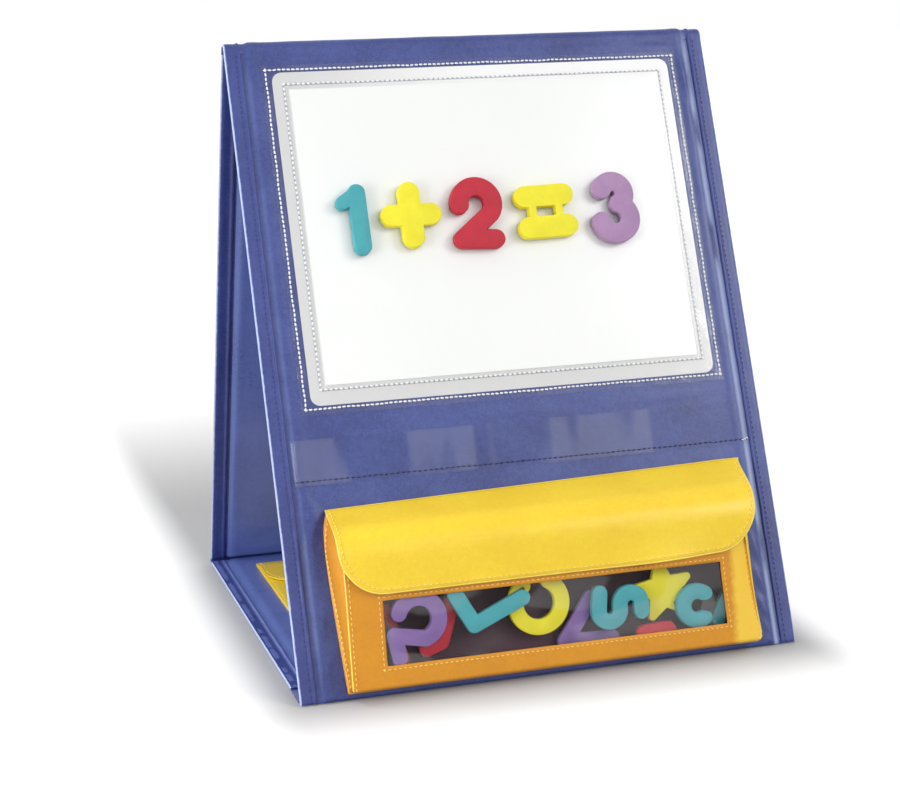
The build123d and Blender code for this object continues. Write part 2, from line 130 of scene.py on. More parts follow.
class Nodes:
    """A tree of nodes, which all come from add."""

    def __init__(self, tree):
        self.tree = tree
        tree.nodes.clear()

    def add(self, kind, values=None, output=0, **settings):
        """A node with its settings, and then with the values or links of its sockets."""
        node = self.tree.nodes.new(kind)
        for key, value in settings.items():
            setattr(node, key, value)
        for key, value in (values or {}).items():
            self.feed(node.inputs[key], value)
        return Shade(self, node.outputs[output]) if len(node.outputs) else node

    def feed(self, socket, value):
        if isinstance(value, Shade):
            self.tree.links.new(value.output, socket)
        else:
            socket.default_value = value


class Finish(Nodes):
    """The surface of one material: its nodes, its colour and its sheen."""

    def __init__(self, name, **sockets):
        self.material = bpy.data.materials.new(name)
        self.material.use_nodes = True
        super().__init__(self.material.node_tree)
        self.surface = self.add("ShaderNodeBsdfPrincipled")
        self.end = self.add("ShaderNodeOutputMaterial", {"Surface": self.surface})
        self.place = self.add("ShaderNodeTexCoord", output="Object")
        self.set(**sockets)

    def set(self, **sockets):
        for key, value in sockets.items():
            self.feed(self.surface.output.node.inputs[key.replace("_", " ").title()], value)

    def axis(self, letter):
        """How far along X, Y or Z a spot lies, in m."""
        return self.add("ShaderNodeSeparateXYZ", {"Vector": self.place}, letter)

    def speckle(self, size, detail=2.0, roughness=0.5, stretch=(1, 1, 1)):
        """Soft noise whose spots are about size mm across."""
        place = self.add("ShaderNodeMapping", {"Vector": self.place, "Scale": stretch})
        values = {"Vector": place, "Scale": 1000 / size, "Detail": detail, "Roughness": roughness}
        return self.add("ShaderNodeTexNoise", values)

    def blend(self, share, first, second):
        """A colour between two, by share. Three numbers are a colour as for paint."""
        first, second = (tone if isinstance(tone, Shade) else paint(*tone) for tone in (first, second))
        return self.add("ShaderNodeMix", {0: share, 6: first, 7: second}, 2, data_type="RGBA")

    def bump(self, height, depth, under=None):
        """Relief depth mm deep, on top of any other relief."""
        values = {"Height": height, "Distance": depth / 1000, "Strength": 1.0}
        if under:
            values["Normal"] = under
        return self.add("ShaderNodeBump", values)


def vinyl(
    name, light, dark, roughness, grain=0.05, painted_highlight=None, highlight_from=0.1517, soft=0.0008, shoulder_highlight=None
):
    """Pressed PVC: slow mottling, a fine grain, and a satin sheen that varies a little.
    The paler edge tone is a painted highlight beyond a distance from the middle, in m, on the
    right only where the change is soft: a painted rim highlight on the tapes' outer edges and a
    painted sheen on the pouch's right end. The shoulder tone is a painted highlight along the
    board's long edges, on the outside of the front panel, stronger on the right."""
    finish = Finish(name)
    slow = finish.speckle(38, 3.0)
    fine = finish.speckle(1.3, 4.0, 0.68)
    weave = finish.speckle(3.4, 3.0, 0.6)
    tone = slow * 0.4 + fine * 0.35 + weave * 0.25
    colour = finish.blend(tone.above(0.5, 0.16), dark, light)
    # Painted highlight: a paler tone beyond a distance from the middle.
    if painted_highlight:
        across = finish.axis("X")
        beside = (across if soft > 0.001 else abs(across)) + (weave - 0.5) * soft
        colour = finish.blend(beside.above(highlight_from, soft * 0.6) * 0.75, colour, painted_highlight)
    # Painted highlight along the board's long edges, stronger on the right, towards the lamp, and only
    # on the front.
    if shoulder_highlight:
        board_edge = 0.1396
        across = finish.axis("X")
        on_edge = 1 - abs(abs(across) - board_edge).above(0.0014, 0.0012)
        right = (across.above(0.0, 0.01) * 0.5 + 0.05) * (1 - finish.axis("Y").above(0.0, 0.004))
        colour = finish.blend(on_edge * right * slow.above(0.44, 0.14), colour, shoulder_highlight)
    peel = finish.bump(weave * 0.6 + finish.speckle(7, 2.0) * 0.4, 0.16)
    finish.set(base_color=colour, roughness=slow * 0.14 + fine * 0.1 + (roughness - 0.12))
    finish.set(normal=finish.bump(fine, grain, peel))
    return finish.material


# The pale shoulder tone is a painted highlight.
blue_vinyl = vinyl("blue_vinyl", (66, 80, 145), (43, 55, 117), 0.36, shoulder_highlight=(196, 212, 246))
# The sleeves' inside faces are painted lighter than the outside: painted light where they lie in shade.
inner_vinyl_painted_light = vinyl("inner_vinyl_painted_light", (105, 122, 187), (92, 108, 173), 0.3)
middle = 3.2  # mm from a panel's inside to the middle of its thickness


def soft_step(share):
    share = min(max(share, 0), 1)
    return share * share * (3 - 2 * share)


def bell(away, width):
    return math.exp(-((away / width) ** 2))


def half_depth(x, flange=0.5):
    """Half the sleeve's depth: full over the board, thin at the welded flange."""
    fall = soft_step((abs(x) - 137.4) / 4.2)
    roll = 0.3 * bell(abs(x) - 135.4, 2.4)
    return 1.7 - (1.7 - flange) * fall + roll * (1 - fall)


def swell(folds, x, level):
    """How far folds in the vinyl lift it, each from one point to another, in mm."""
    rise = 0.0
    for x1, level1, x2, level2, width, height in folds:
        run_x = x2 - x1
        run_level = level2 - level1
        length = math.hypot(run_x, run_level)
        along = ((x - x1) * run_x + (level - level1) * run_level) / length ** 2
        if 0 < along < 1:
            away = ((x - x1) * run_level - (level - level1) * run_x) / length
            rise += height * (1 - (2 * along - 1) ** 2) * bell(away, width)
    return rise


def drift(seed, x, level, size):
    return noise.noise(Vector((x / size, level / size, seed * 7.3)))


def steps(start, stop, size):
    count = max(1, round(abs(stop - start) / size))
    return [start + (stop - start) * index / count for index in range(count + 1)]


def hemmed(level_from, level_to, ends):
    """Levels along a panel, close together at its two hems, at ends in mm from each."""
    levels = [level_from + end for end in ends]
    levels += steps(level_from + ends[-1], level_to - ends[-1], 2.5)[1:-1]
    return levels + [level_to - end for end in ends[::-1]]


def fullness(to_end, radius, least):
    """How full a sleeve or a tape is near its rounded lower end, up to 1."""
    end = min(to_end, radius) / radius
    return max(least, math.sqrt(1 - (1 - end) ** 2))


def mirrored(ends, step):
    """Places across a panel: ends, from the outermost in, then even steps, then ends mirrored."""
    return [-x for x in ends] + steps(-ends[-1], ends[-1], step)[1:-1] + ends[::-1]


def new_object(name, data):
    piece = bpy.data.objects.new(name, data)
    bpy.context.scene.collection.objects.link(piece)
    return piece


def skin(name, rows, around, finishes, finish_at=None, sharp=50):
    """A mesh over rows of points. Around closes each row to a ring and caps the two ends."""
    count = len(rows[0])
    points = [point for row in rows for point in row]
    faces = []
    for low in range(0, len(points) - count, count):
        for index in range(count if around else count - 1):
            after = (index + 1) % count
            faces.append((low + index, low + after, low + count + after, low + count + index))
    if around:
        faces.append(tuple(range(count)))
        faces.append(tuple(range(len(points) - count, len(points))))
    mesh = bpy.data.meshes.new(name)
    mesh.from_pydata(points, [], faces)
    for finish in finishes:
        mesh.materials.append(finish)
    if finish_at:
        for face in mesh.polygons:
            face.material_index = finish_at(face.center * 1000)
    work = bmesh.new()
    work.from_mesh(mesh)
    bmesh.ops.recalc_face_normals(work, faces=work.faces)
    work.to_mesh(mesh)
    work.free()
    mesh.shade_smooth()
    mesh.set_sharp_from_angle(angle=math.radians(sharp))
    return new_object(name, mesh)


def fit(piece, body, slot, *nodes):
    """The piece's body, and the CAD nodes that it stands for, which it hides. The slot is not used."""
    if body:
        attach(piece, body)
    if nodes:
        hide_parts(*nodes)
    return piece


def sleeve(name, place, level_from, level_to, step, seed, folds, calm, inner_folds, flange):
    """One panel's sleeve. Calm gives how still the outer face lies at a point, 0 to 1."""
    shoulder = [151.8, 149, 146, 143.6, 142.4, 141.6, 141, 140.4, 139.8, 139.2, 138.6, 138, 137.2]
    shoulder += [136.2, 135, 133.6, 132]
    across = mirrored(shoulder, step)
    rows = []
    for level in hemmed(level_from, level_to, [0, 0.25, 0.7, 1.3, 2.2, 3.2]):
        hem = fullness(level_to - level, 2.2, 0.25)
        eased = min(1, (level - level_from) / 6)
        outer = []
        inner = []
        for x in across:
            free = 1 if abs(x) < 139 else max(0, 1 - (abs(x) - 139) / 2.5)
            wave = 0.22 * drift(seed, x, level, 34) + 0.1 * drift(seed + 1, x, level, 11)
            rise = (wave + swell(folds, x, level)) * free * eased * (1 - calm(x, level))
            depth = half_depth(x, flange) * hem
            outer.append(place(x, level, middle + depth + rise * hem))
            back = min(0.2 * drift(seed + 2, x, level, 26), 0.05) + swell(inner_folds, x, level)
            inner.append(place(x, level, middle - depth + back * free * hem))
        rows.append(outer + inner[::-1])
    facing_in = (place(0, 190, 0) - place(0, 190, 1)).normalized()
    skin_level = (place(0, 190, middle) * 1000).dot(facing_in)

    def inside(centre):
        return 1 if centre.dot(facing_in) > skin_level + 0.6 and abs(centre.x) < 145 else 0

    return skin(name, rows, True, [blue_vinyl, inner_vinyl_painted_light], inside)


def under_pieces(x, level):
    """Flat where the dry-erase board and the pouch are sewn on."""
    board = max(abs(x) - 133, abs(level - 117) - 106.5)
    pouch = max(abs(x) - 128, abs(level - 326.5) - 55)
    return min(1, max(0, 1 - min(board, pouch) / 4))


front_folds = [
    (-137, 300, -129, 268, 2.2, 0.7),
    (-136, 283, -112, 264, 2.0, 0.7),
    (-138, 276, -100, 268, 1.6, 0.5),
    (-137, 264, -127, 300, 2.4, 0.5),
    (138, 318, 129, 286, 2.6, 0.9),
    (138, 338, 129, 305, 2.4, 0.7),
    (138, 356, 129, 330, 2.2, 0.9),
    (138, 372, 129, 350, 2.2, 1.1),
    (138, 381, 129, 364, 1.8, 0.9),
    (137, 384, 129, 377, 1.6, 0.8),
    (-137, 372, -129, 350, 2.2, 0.5),
    (-137, 350, -129, 322, 2.2, 0.4),
    (-60, 229, 20, 231, 2.2, 0.35),
    (60, 231, 120, 228, 2.0, 0.35),
    (-120, 229, -70, 227, 2.0, 0.4),
    (134, 14, 108, 5, 1.8, 1.2),
    (137, 19, 122, 5, 1.7, 1.3),
    (138, 30, 130, 7, 1.8, 1.1),
    (138, 46, 134, 20, 1.6, 0.8),
    (136, 60, 131, 34, 2.0, 0.5),
    (136, 110, 132, 78, 2.0, 0.5),
    (-132, 11, -110, 5, 1.8, 0.5),
    (-20, 9, 40, 6, 1.8, 0.4),
    (40, 10, 92, 5, 1.8, 0.4),
]
back_folds = [
    (-130, 376, -40, 371, 2.2, -0.6),
    (-60, 377, 30, 373, 2.0, -0.5),
    (10, 374, 100, 376, 2.2, -0.6),
    (60, 370, 134, 375, 2.0, -0.5),
    (110, 378, 136, 366, 1.8, -0.6),
    (90, 362, 137, 352, 2.6, -0.4),
]
base_folds = [
    (100, 20, 136, 34, 4, 0.35),
    (96, 60, 136, 92, 6, 0.3),
    (104, 130, 137, 150, 5, 0.35),
    (100, 190, 137, 214, 4, 0.4),
    (-60, 20, 40, 24, 4, 0.3),
]
panels = {"front": (on_front, 3, 385), "back": (on_back, 3, 381), "base": (on_base, 6, 266.4)}
for word, step, seed, folds, calm, inner_folds, flange in (
    ("front", 4, 1, front_folds, under_pieces, [], 0.5),
    ("back", 5, 5, [], lambda x, level: 0, back_folds, 0.5),
    ("base", 8, 9, [], lambda x, level: 1, base_folds, 1.2),
):
    cover = sleeve(f"{word}_sleeve", *panels[word], step, seed, folds, calm, inner_folds, flange)
    fit(cover, f"{word}_panel", "blue_vinyl", f"{word}_cover")


# Chipboards. A grey chipboard stiffens each panel inside its sleeve.
# It is die-cut, with a fibrous face and a paler cut edge.
def coat(finish, *nodes):
    """The finish on CAD nodes that stay as they are."""
    for node in nodes:
        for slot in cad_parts[node].material_slots:
            slot.material = finish.material


chipboard = Finish("chipboard", roughness=0.85)
fibres = chipboard.speckle(3.0, 5.0, 0.7, (1, 1, 4))
chipboard.set(base_color=chipboard.blend(fibres, (120, 108, 92), (176, 164, 146)))
chipboard.set(normal=chipboard.bump(fibres, 0.05))
coat(chipboard, "front_board", "back_board", "base_board")


# Edge tapes. Blue binding tape is folded round each welded side, its two raw edges turned
# under into a narrow ridge, and sewn down through the flange just outside that ridge.
# The pale tone on a tape's outer edge is a painted rim highlight.
blue_tape = vinyl("blue_tape", (60, 73, 140), (42, 53, 116), 0.36, 0.04, (196, 210, 244))
# The base's tape is the blue tape painted lighter: painted light where the base's edges lie in shade.
# Its pale outer edge is a painted rim highlight.
base_tape_painted_light = vinyl("base_tape_painted_light", (104, 120, 184), (84, 98, 162), 0.36, 0.04, (196, 210, 244))


def edge_tape(name, place, level_from, level_to, side, finish):
    seed = side * 2 + 11
    rows = []
    for level in hemmed(level_from, level_to, [0, 0.3, 0.9, 1.8]):
        hem = fullness(level_to - level, 1.8, 0.35)
        slip = 0.22 * drift(seed, 0, level, 14)
        puff = 1 + 0.10 * drift(seed + 3, 0, level, 9)
        upper = [
            (142.9 + slip, 0.55), (142.7 + slip, 0.95), (143.0 + slip, 1.5 * puff),
            (143.7 + slip, 1.68 * puff), (144.5 + slip, 1.5 * puff), (145.0 + slip, 1.16),
            (146.2, 1.04), (148.5, 1.22 * puff), (150.6, 1.22 * puff),
            (151.7, 1.02), (152.3, 0.6), (152.5, 0.0),
        ]
        lower = [(x, -depth) for x, depth in upper[-2::-1]]
        inside = [(151.95, -0.52), (151.95, 0.52)]
        ring = [(x, middle + depth * hem) for x, depth in upper + lower + inside]
        rows.append([place(side * x, level, out) for x, out in ring])
    return skin(name, rows, True, [finish], None, 60)


for word, finish in (("front", blue_tape), ("back", blue_tape), ("base", base_tape_painted_light)):
    for hand, side in (("left", -1), ("right", 1)):
        tape = edge_tape(f"{word}_tape_{hand}", *panels[word], side, finish)
        fit(tape, f"{word}_panel", "blue_tape", f"{word}_binding_{hand}")


# Seams. A lockstitch machine sewed everything: polyester thread in short even stitches that
# sink a little into the vinyl, dark blue on the blue parts, white on the board, gold on yellow.
def thread(name, colour, shade):
    finish = Finish(name, roughness=0.6)
    twist = finish.speckle(0.35, 2.0, 0.6, (1, 3, 1))
    finish.set(base_color=finish.blend(twist, shade, colour), normal=finish.bump(twist, 0.04))
    return finish.material


blue_thread = thread("blue_thread", (64, 72, 132), (40, 46, 98))
stitch_tree = bpy.data.node_groups.new("lockstitch", "GeometryNodeTree")
for word, way, kind in (
    ("Seam", "INPUT", "Geometry"),
    ("Pitch", "INPUT", "Float"),
    ("Stitch length", "INPUT", "Float"),
    ("Thread width", "INPUT", "Float"),
    ("Wander", "INPUT", "Float"),
    ("Seed", "INPUT", "Int"),
    ("Finish", "INPUT", "Material"),
    ("Stitches", "OUTPUT", "Geometry"),
):
    stitch_tree.interface.new_socket(word, in_out=way, socket_type=f"NodeSocket{kind}")
stitcher = Nodes(stitch_tree)


def given(word):
    return stitcher.add("NodeGroupInput", output=word)


line = stitcher.add("GeometryNodeMeshToCurve", {"Mesh": given("Seam")})
even = stitcher.add(
    "GeometryNodeResampleCurve", {"Curve": line, "Length": given("Pitch")}, mode="LENGTH"
)
bead = stitcher.add("GeometryNodeMeshUVSphere", {"Segments": 6, "Rings": 4, "Radius": 0.5})
width = given("Thread width")
size = stitcher.add("ShaderNodeCombineXYZ", {"X": given("Stitch length"), "Y": width, "Z": width})
shaped = stitcher.add("GeometryNodeTransform", {"Geometry": bead, "Scale": size})
tangent = stitcher.add("GeometryNodeInputTangent")
along = stitcher.add("FunctionNodeAlignRotationToVector", {"Vector": tangent}, axis="X")
facing = stitcher.add(
    "GeometryNodeInputNamedAttribute", {"Name": "facing"}, "Attribute", data_type="FLOAT_VECTOR"
)
upright = stitcher.add(
    "FunctionNodeAlignRotationToVector", {"Rotation": along, "Vector": facing}, axis="Z", pivot_axis="X"
)
wander = given("Wander")
spread = {"Min": wander * -1.0, "Max": wander, "Seed": given("Seed")}
turn = stitcher.add("FunctionNodeRandomValue", spread, "Value", data_type="FLOAT")
spin = stitcher.add("ShaderNodeCombineXYZ", {"Z": turn})
local = stitcher.add("FunctionNodeEulerToRotation", {"Euler": spin})
posed = stitcher.add(
    "FunctionNodeRotateRotation", {"Rotation": upright, "Rotate By": local}, rotation_space="LOCAL"
)
placed = stitcher.add(
    "GeometryNodeInstanceOnPoints", {"Points": even, "Instance": shaped, "Rotation": posed}
)
real = stitcher.add("GeometryNodeRealizeInstances", {"Geometry": placed})
tinted = stitcher.add("GeometryNodeSetMaterial", {"Geometry": real, "Material": given("Finish")})
stitcher.add("NodeGroupOutput", {"Stitches": tinted})


def settle(piece):
    """The piece's modifiers worked into its mesh."""
    graph = bpy.context.evaluated_depsgraph_get()
    mesh = bpy.data.meshes.new_from_object(piece.evaluated_get(graph), depsgraph=graph)
    piece.modifiers.clear()
    piece.data = mesh


def sew(name, body, seams, finish, slot, pitch=2.9, length=2.1, width=0.55, wander=0.08):
    """Stitches along seams, each a list of points with the way the cloth faces, in one mesh."""
    points = [point for seam, way in seams for point in seam]
    ways = [way for seam, way in seams for point in seam]
    edges = []
    start = 0
    for seam, way in seams:
        edges += [(start + index, start + index + 1) for index in range(len(seam) - 1)]
        start += len(seam)
    mesh = bpy.data.meshes.new(name)
    mesh.from_pydata(points, edges, [])
    facing = mesh.attributes.new("facing", "FLOAT_VECTOR", "POINT")
    facing.data.foreach_set("vector", [value for way in ways for value in way])
    piece = new_object(name, mesh)
    made = piece.modifiers.new("lockstitch", "NODES")
    made.node_group = stitch_tree
    values = {"Pitch": pitch / 1000, "Stitch length": length / 1000, "Thread width": width / 1000}
    values.update({"Wander": wander, "Seed": len(seams), "Finish": finish})
    for socket in stitch_tree.interface.items_tree:
        if socket.name in values:
            made[socket.identifier] = values[socket.name]
    settle(piece)
    piece.data.shade_smooth()
    return fit(piece, body, slot)


def run(place, start, end, out, wobble=0.0, step=2.5):
    """Points of a straight seam on a panel, from (x, level) to (x, level)."""
    length = math.hypot(end[0] - start[0], end[1] - start[1])
    side_x = (end[1] - start[1]) / length
    side_level = -(end[0] - start[0]) / length
    points = []
    for along in steps(0, length, step):
        share = along / length
        x = start[0] + (end[0] - start[0]) * share
        level = start[1] + (end[1] - start[1]) * share
        off = wobble * drift(3, x, level, 9)
        points.append(place(x + side_x * off, level + side_level * off, out))
    return points


front_out = on_front(0, 0, 1) - on_front(0, 0, 0)
back_out = on_back(0, 0, 1) - on_back(0, 0, 0)
down = Vector((0, 0, -0.001))


def tape_seams(place, level_from, level_to, way):
    """Stitches down both tapes of a panel, on its two faces."""
    seams = []
    for side in (-1, 1):
        start = (side * 146.0, level_from + 2)
        end = (side * 146.0, level_to - 1.5)
        seams.append((run(place, start, end, middle + 1.1, 0.3), way))
        seams.append((run(place, start, end, middle - 1.1, 0.3), -way))
    return seams


# Strip pocket. A strip of clear vinyl for sentence cards lies across the front panel, sewn
# along its lower edge with dark blue thread and open above, and it clings to the vinyl in patches.
def clear_vinyl_finish(name, patch, haze, gloss, stretch=(1, 1, 1), shine=0.014):
    """Clear film: see-through and glossy, and hazier in patches where it stands off its backing."""
    finish = Finish(name, roughness=0.14, base_color=paint(255, 255, 255), metallic=1.0)
    ripple = finish.speckle(patch * 0.6, 2.0, 0.5, stretch)
    cling = finish.speckle(patch, 1.0, 0.4, stretch).above(0.5, 0.05)
    finish.set(normal=finish.bump(ripple, 0.25))
    slant = finish.add("ShaderNodeLayerWeight", {"Blend": 0.5}, "Facing")
    edge = slant ** 4.0 * 0.5 + shine
    see = finish.add("ShaderNodeBsdfTransparent", {"Color": paint(253, 253, 253)})
    share = (cling * (1 - gloss) + gloss) * edge + cling * haze
    mixed = finish.add("ShaderNodeMixShader", {0: share, 1: see, 2: finish.surface})
    finish.feed(finish.end.inputs["Surface"], mixed)
    return finish.material


def cloth(name, rows, finishes, ply, body, slot, nodes=(), skip=None, finish_at=None):
    """A sheet of ply mm over rows of points, leaving out the faces that skip picks."""
    piece = skin(name, rows, False, finishes, finish_at, 180)
    if skip:
        work = bmesh.new()
        work.from_mesh(piece.data)
        gone = [face for face in work.faces if skip(face.index)]
        bmesh.ops.delete(work, geom=gone, context="FACES")
        work.to_mesh(piece.data)
        work.free()
    wall = piece.modifiers.new("ply", "SOLIDIFY")
    wall.thickness = ply / 1000
    wall.offset = 0
    wall.use_even_offset = False
    return fit(piece, body, slot, *nodes)


def card_pocket(name, place, top, bottom, level_step, x_step, seed, wave, size, film, body, node):
    """A clear pocket across a panel, sewn down at the bottom, its mouth standing slightly open."""
    rows = []
    for level in steps(top, bottom, level_step):
        up = (bottom - level) / (bottom - top)
        rows.append([
            place(x, level, 5.12 + 0.8 * up + wave * up * drift(seed, x, level, size))
            for x in steps(-141, 141, x_step)
        ])
    return cloth(name, rows, [film], 0.25, body, "clear_vinyl", [node])


strip_film = clear_vinyl_finish("strip_film", 24, 0.022, 0.2, (1, 0.15, 0.15), 0.003)
strip = ("strip_pocket_film", on_front, 236, 263, 1.8, 3, 31, 0.3, 22)
strip_pocket = card_pocket(*strip, strip_film, "front_panel", "strip_pocket")


# Dry-erase board. A sheet-steel plate under a glossy white face, its field slightly raised,
# lies under a clear vinyl cover that white thread holds down round the edge and round the field.
white_face = Finish("white_face", roughness=0.22)
scuffs = white_face.speckle(60, 3.0)
rubbed = white_face.speckle(16, 5.0, 0.7, (1, 0.4, 0.4))
across = white_face.axis("X")
board_middle = 116  # mm down the panel
above_middle = white_face.axis("Z") - (fold_z - slope_cos * board_middle + slope_sin * 5.6) / 1000
field_half_x = 0.1165
field_half_level = 0.0893
beyond = abs(above_middle) - field_half_level * slope_cos
from_field = (abs(across) - field_half_x).most(beyond / slope_cos)
rim = from_field.above(0.0, 0.0006)
# Painted shade: a grey band along the inner seam, where the film dips.
seam_shade = 1 - abs(from_field - 0.003).above(0.0006, 0.0003)
field = white_face.blend(scuffs, (243, 245, 244), (249, 250, 248))
# Painted shade and light: the rim is painted grey towards the bottom and the left, and near white
# towards the top and the right, where the lamp is.
lit = above_middle.above(0.02, 0.1) * across.above(-0.06, 0.07)
rim_light_and_shade = white_face.blend(lit, (214, 214, 214), (249, 249, 248))
seam_shade_tone = white_face.blend(seam_shade * 0.75, rim_light_and_shade, (150, 152, 162))
white_face.set(base_color=white_face.blend(rim, field, seam_shade_tone))
white_face.set(roughness=rubbed * 0.14 + 0.16, normal=white_face.bump(scuffs, 0.03))
coat(white_face, "white_board")
steel = Finish("steel", metallic=1.0)
rolled = steel.speckle(1.2, 4.0, 0.6, (1, 12, 12))
steel.set(base_color=steel.blend(rolled, (150, 152, 156), (182, 184, 188)))
steel.set(roughness=rolled * 0.2 + 0.25)
coat(steel, "steel_sheet")


def board_rise(x, level):
    """How high the clear cover lies: on the sleeve, on the board's rim, then on its field."""
    rim = soft_step(0.5 - max(abs(x) - 126.4, abs(level - 116.5) - 101.2) / 1.6)
    field = soft_step(0.5 - max(abs(x) - 116.6, abs(level - board_middle) - 89.6) / 1.6)
    loose = max(abs(x) - 126, abs(level - 116.5) - 101) > 1
    ripple = 0.1 * drift(41, x, level, 12) if loose else 0.06 * drift(41, x, level, 30)
    return 5.1 + 0.52 * rim + 0.5 * field + max(ripple, -0.05)


fine_x = [132, 131, 130, 129, 128, 127, 126.4, 125.8, 125, 124, 122, 120, 118.4, 117.4, 116.6]
fine_level = [11.4, 12.4, 13.4, 14.3, 15.0, 15.6, 16.2, 17, 18.5, 20.5, 22.5, 24.5, 25.6, 26.4]
fine_level += [27.2, 28.2]
cover_x = mirrored(fine_x + [115.8, 115], 5)
cover_level = fine_level + steps(28.2, 204.2, 5)[1:-1]
cover_level += [204.2, 204.9, 205.6, 206.6, 208, 210, 212, 214, 215.6, 216.6, 217.3, 218.2, 219.2]
cover_level += [220.4, 221.5, 222.5]
cover_rows = [[on_front(x, level, board_rise(x, level)) for x in cover_x] for level in cover_level]


def cover_zone(centre):
    """The rim round the field looks hazier, because the film is folded double there."""
    level = (fold_z + slope_sin * 5.6 - centre.z) / slope_cos
    return 1 if max(abs(centre.x) - 118, abs(level - board_middle) - 90.6) > 0 else 0


cover_film = clear_vinyl_finish("cover_film", 34, 0.0, 0.95)
frame_film = clear_vinyl_finish("frame_film", 20, 0.004, 0.7)
board_cover = cloth(
    "board_cover_film", cover_rows, [cover_film, frame_film], 0.2,
    "front_panel", "clear_vinyl", ["board_cover"], finish_at=cover_zone,
)


def loop(place, way, half_x, top, bottom, out, wobble=0.0):
    """Four seams round a rectangle."""
    corners = [(-half_x, top), (half_x, top), (half_x, bottom), (-half_x, bottom), (-half_x, top)]
    return [(run(place, a, b, out, wobble), way) for a, b in zip(corners, corners[1:])]


white_thread = thread("white_thread", (252, 252, 252), (214, 218, 226))
outer_seams = loop(on_front, front_out, 129.5, 14.3, 218.7, 5.55, 0.4)
sew("board_outer_stitches", "front_panel", outer_seams, white_thread, "white_face", 2.8, 2.6, 1.3, 0.16)
inner_seams = loop(on_front, front_out, 119.5, 23.5, 208, 6.05, 0.3)
sew("board_inner_stitches", "front_panel", inner_seams, white_thread, "white_face", 3.0, 2.4, 1.4, 0.1)


# Pouch. Yellow vinyl sewn to the front panel: a flat back, a front that slopes out to the
# mouth with a window in it, and a side wall at each end that folds outwards as the pouch opens.
# The pouch's yellow is painted darker than the flap's, a painted shade, and paler at its right end, a
# painted highlight.
yellow_vinyl = vinyl(
    "yellow_vinyl", (216, 146, 18), (204, 133, 14), 0.36, 0.05, (250, 212, 66), 0.109, 0.005
)
flap_vinyl = vinyl("flap_vinyl", (242, 209, 44), (233, 195, 36), 0.34)
# Paler than the flap's yellow: a painted highlight along the turned edges.
rolled_vinyl_painted_highlight = vinyl("rolled_vinyl_painted_highlight", (250, 226, 104), (240, 206, 72), 0.34, 0.04)
gold_thread = thread("gold_thread", (255, 232, 140), (240, 192, 74))
pouch_tilt = math.radians(11.51)
tilt_sin = math.sin(pouch_tilt)
tilt_cos = math.cos(pouch_tilt)
bend_level = 381  # mm down the panel, where the pouch's front bends back to it
pouch_half = 124
pouch_height = 82
slant = 3.2 / 125  # how much higher the flap is sewn on towards the right, per mm


def on_pouch(x, height, depth):
    """Across, up from the pouch front's lower bend, and out of its plane, in mm."""
    up = height * tilt_cos - depth * tilt_sin - bend_level
    out = 16 + height * tilt_sin + depth * tilt_cos
    return on_front(x, -up, out)


back_rows = []
for level in [271.0, 271.4, 272.5] + steps(275, 379, 5) + [381, 382]:
    down_share = (level - 271) / 111
    half = 128.5 - 4.6 * math.exp(-(level - 271) / 7) - 3.6 * (max(0, level - 301) / 81) ** 1.3
    row = []
    for x in [half * share for share in steps(-1, 1, 0.04)]:
        raised = (2.9 - slant * x) * (1 - down_share)
        row.append(on_front(x, level + raised, 5.2 + 0.08 * drift(52, x, level, 20)))
    back_rows.append(row)
# Painted shade: a dark maroon sheet on the pouch back inside the pouch, where the inside is in shade.
inside_painted_shade = vinyl("pouch_painted_shade", (74, 34, 52), (50, 22, 38), 0.6)

def pouch_shade_zone(centre):
    """Where the pouch back is painted dark inside the pouch as painted shade; its edges follow the
    slanted rows.
    """
    raised = 2.9 - slant * centre.x
    level = (fold_z + slope_sin * 5.2 - centre.z) / slope_cos - raised * 382 / 111
    level /= 1 - raised / 111
    return 1 if abs(centre.x) < 119 and 298 < level < 379 else 0


pouch_back = cloth(
    "pouch_back_sheet", back_rows, [yellow_vinyl, inside_painted_shade], 0.6,
    "front_panel", "yellow_vinyl", ["pouch_back"], finish_at=pouch_shade_zone,
)

window_half = 103.5
window_low = 11.8
window_high = 48.8


def narrowed(x, height):
    """The pouch front's right end draws in towards the mouth."""
    if x <= 0 or height <= 0:
        return x
    return x - 0.095 * (min(height, pouch_height) - 18) * (x / pouch_half) ** 2


def front_bulge(x, height):
    """The pouch front's own shape: a slight belly, and the pucker by the flap's right end."""
    up_share = min(1, max(0, height / pouch_height))
    belly = 0.42 * (1 - (x / pouch_half) ** 2) * math.sin(math.pi * up_share)
    pucker = 2.9 * bell(x - 84, 24) * bell(height - 56, 8)
    dent = -3.4 * bell(x - 54, 6) * bell(height - 57, 6)
    ease = 0.3 * drift(61, x, height, 26)
    turned = -2.6 * (max(0, x - 106) / 18) ** 1.6 * min(1, max(0, height) / 30)
    return belly + pucker + dent + ease * min(1, height / 10) + turned


def over_pouch(x, height, lift):
    """A point lift mm above the pouch's front."""
    return on_pouch(narrowed(x, height), height, front_bulge(x, height) + lift)


def pouch_front_point(x, height):
    """A point of the pouch's front, which bends back to the panel below height 0."""
    if height >= 0:
        return over_pouch(x, height, 0)
    turn = -height / 8.2
    if turn > 1:
        return on_front(x, bend_level + 0.8, max(10 - (turn - 1) * 8.2, 5.8))
    angle = math.radians(90 * turn)
    out = max(11 + 5 * math.cos(angle) - turn, 5.8)
    return on_front(x, bend_level - 0.2 + math.sin(angle), out)


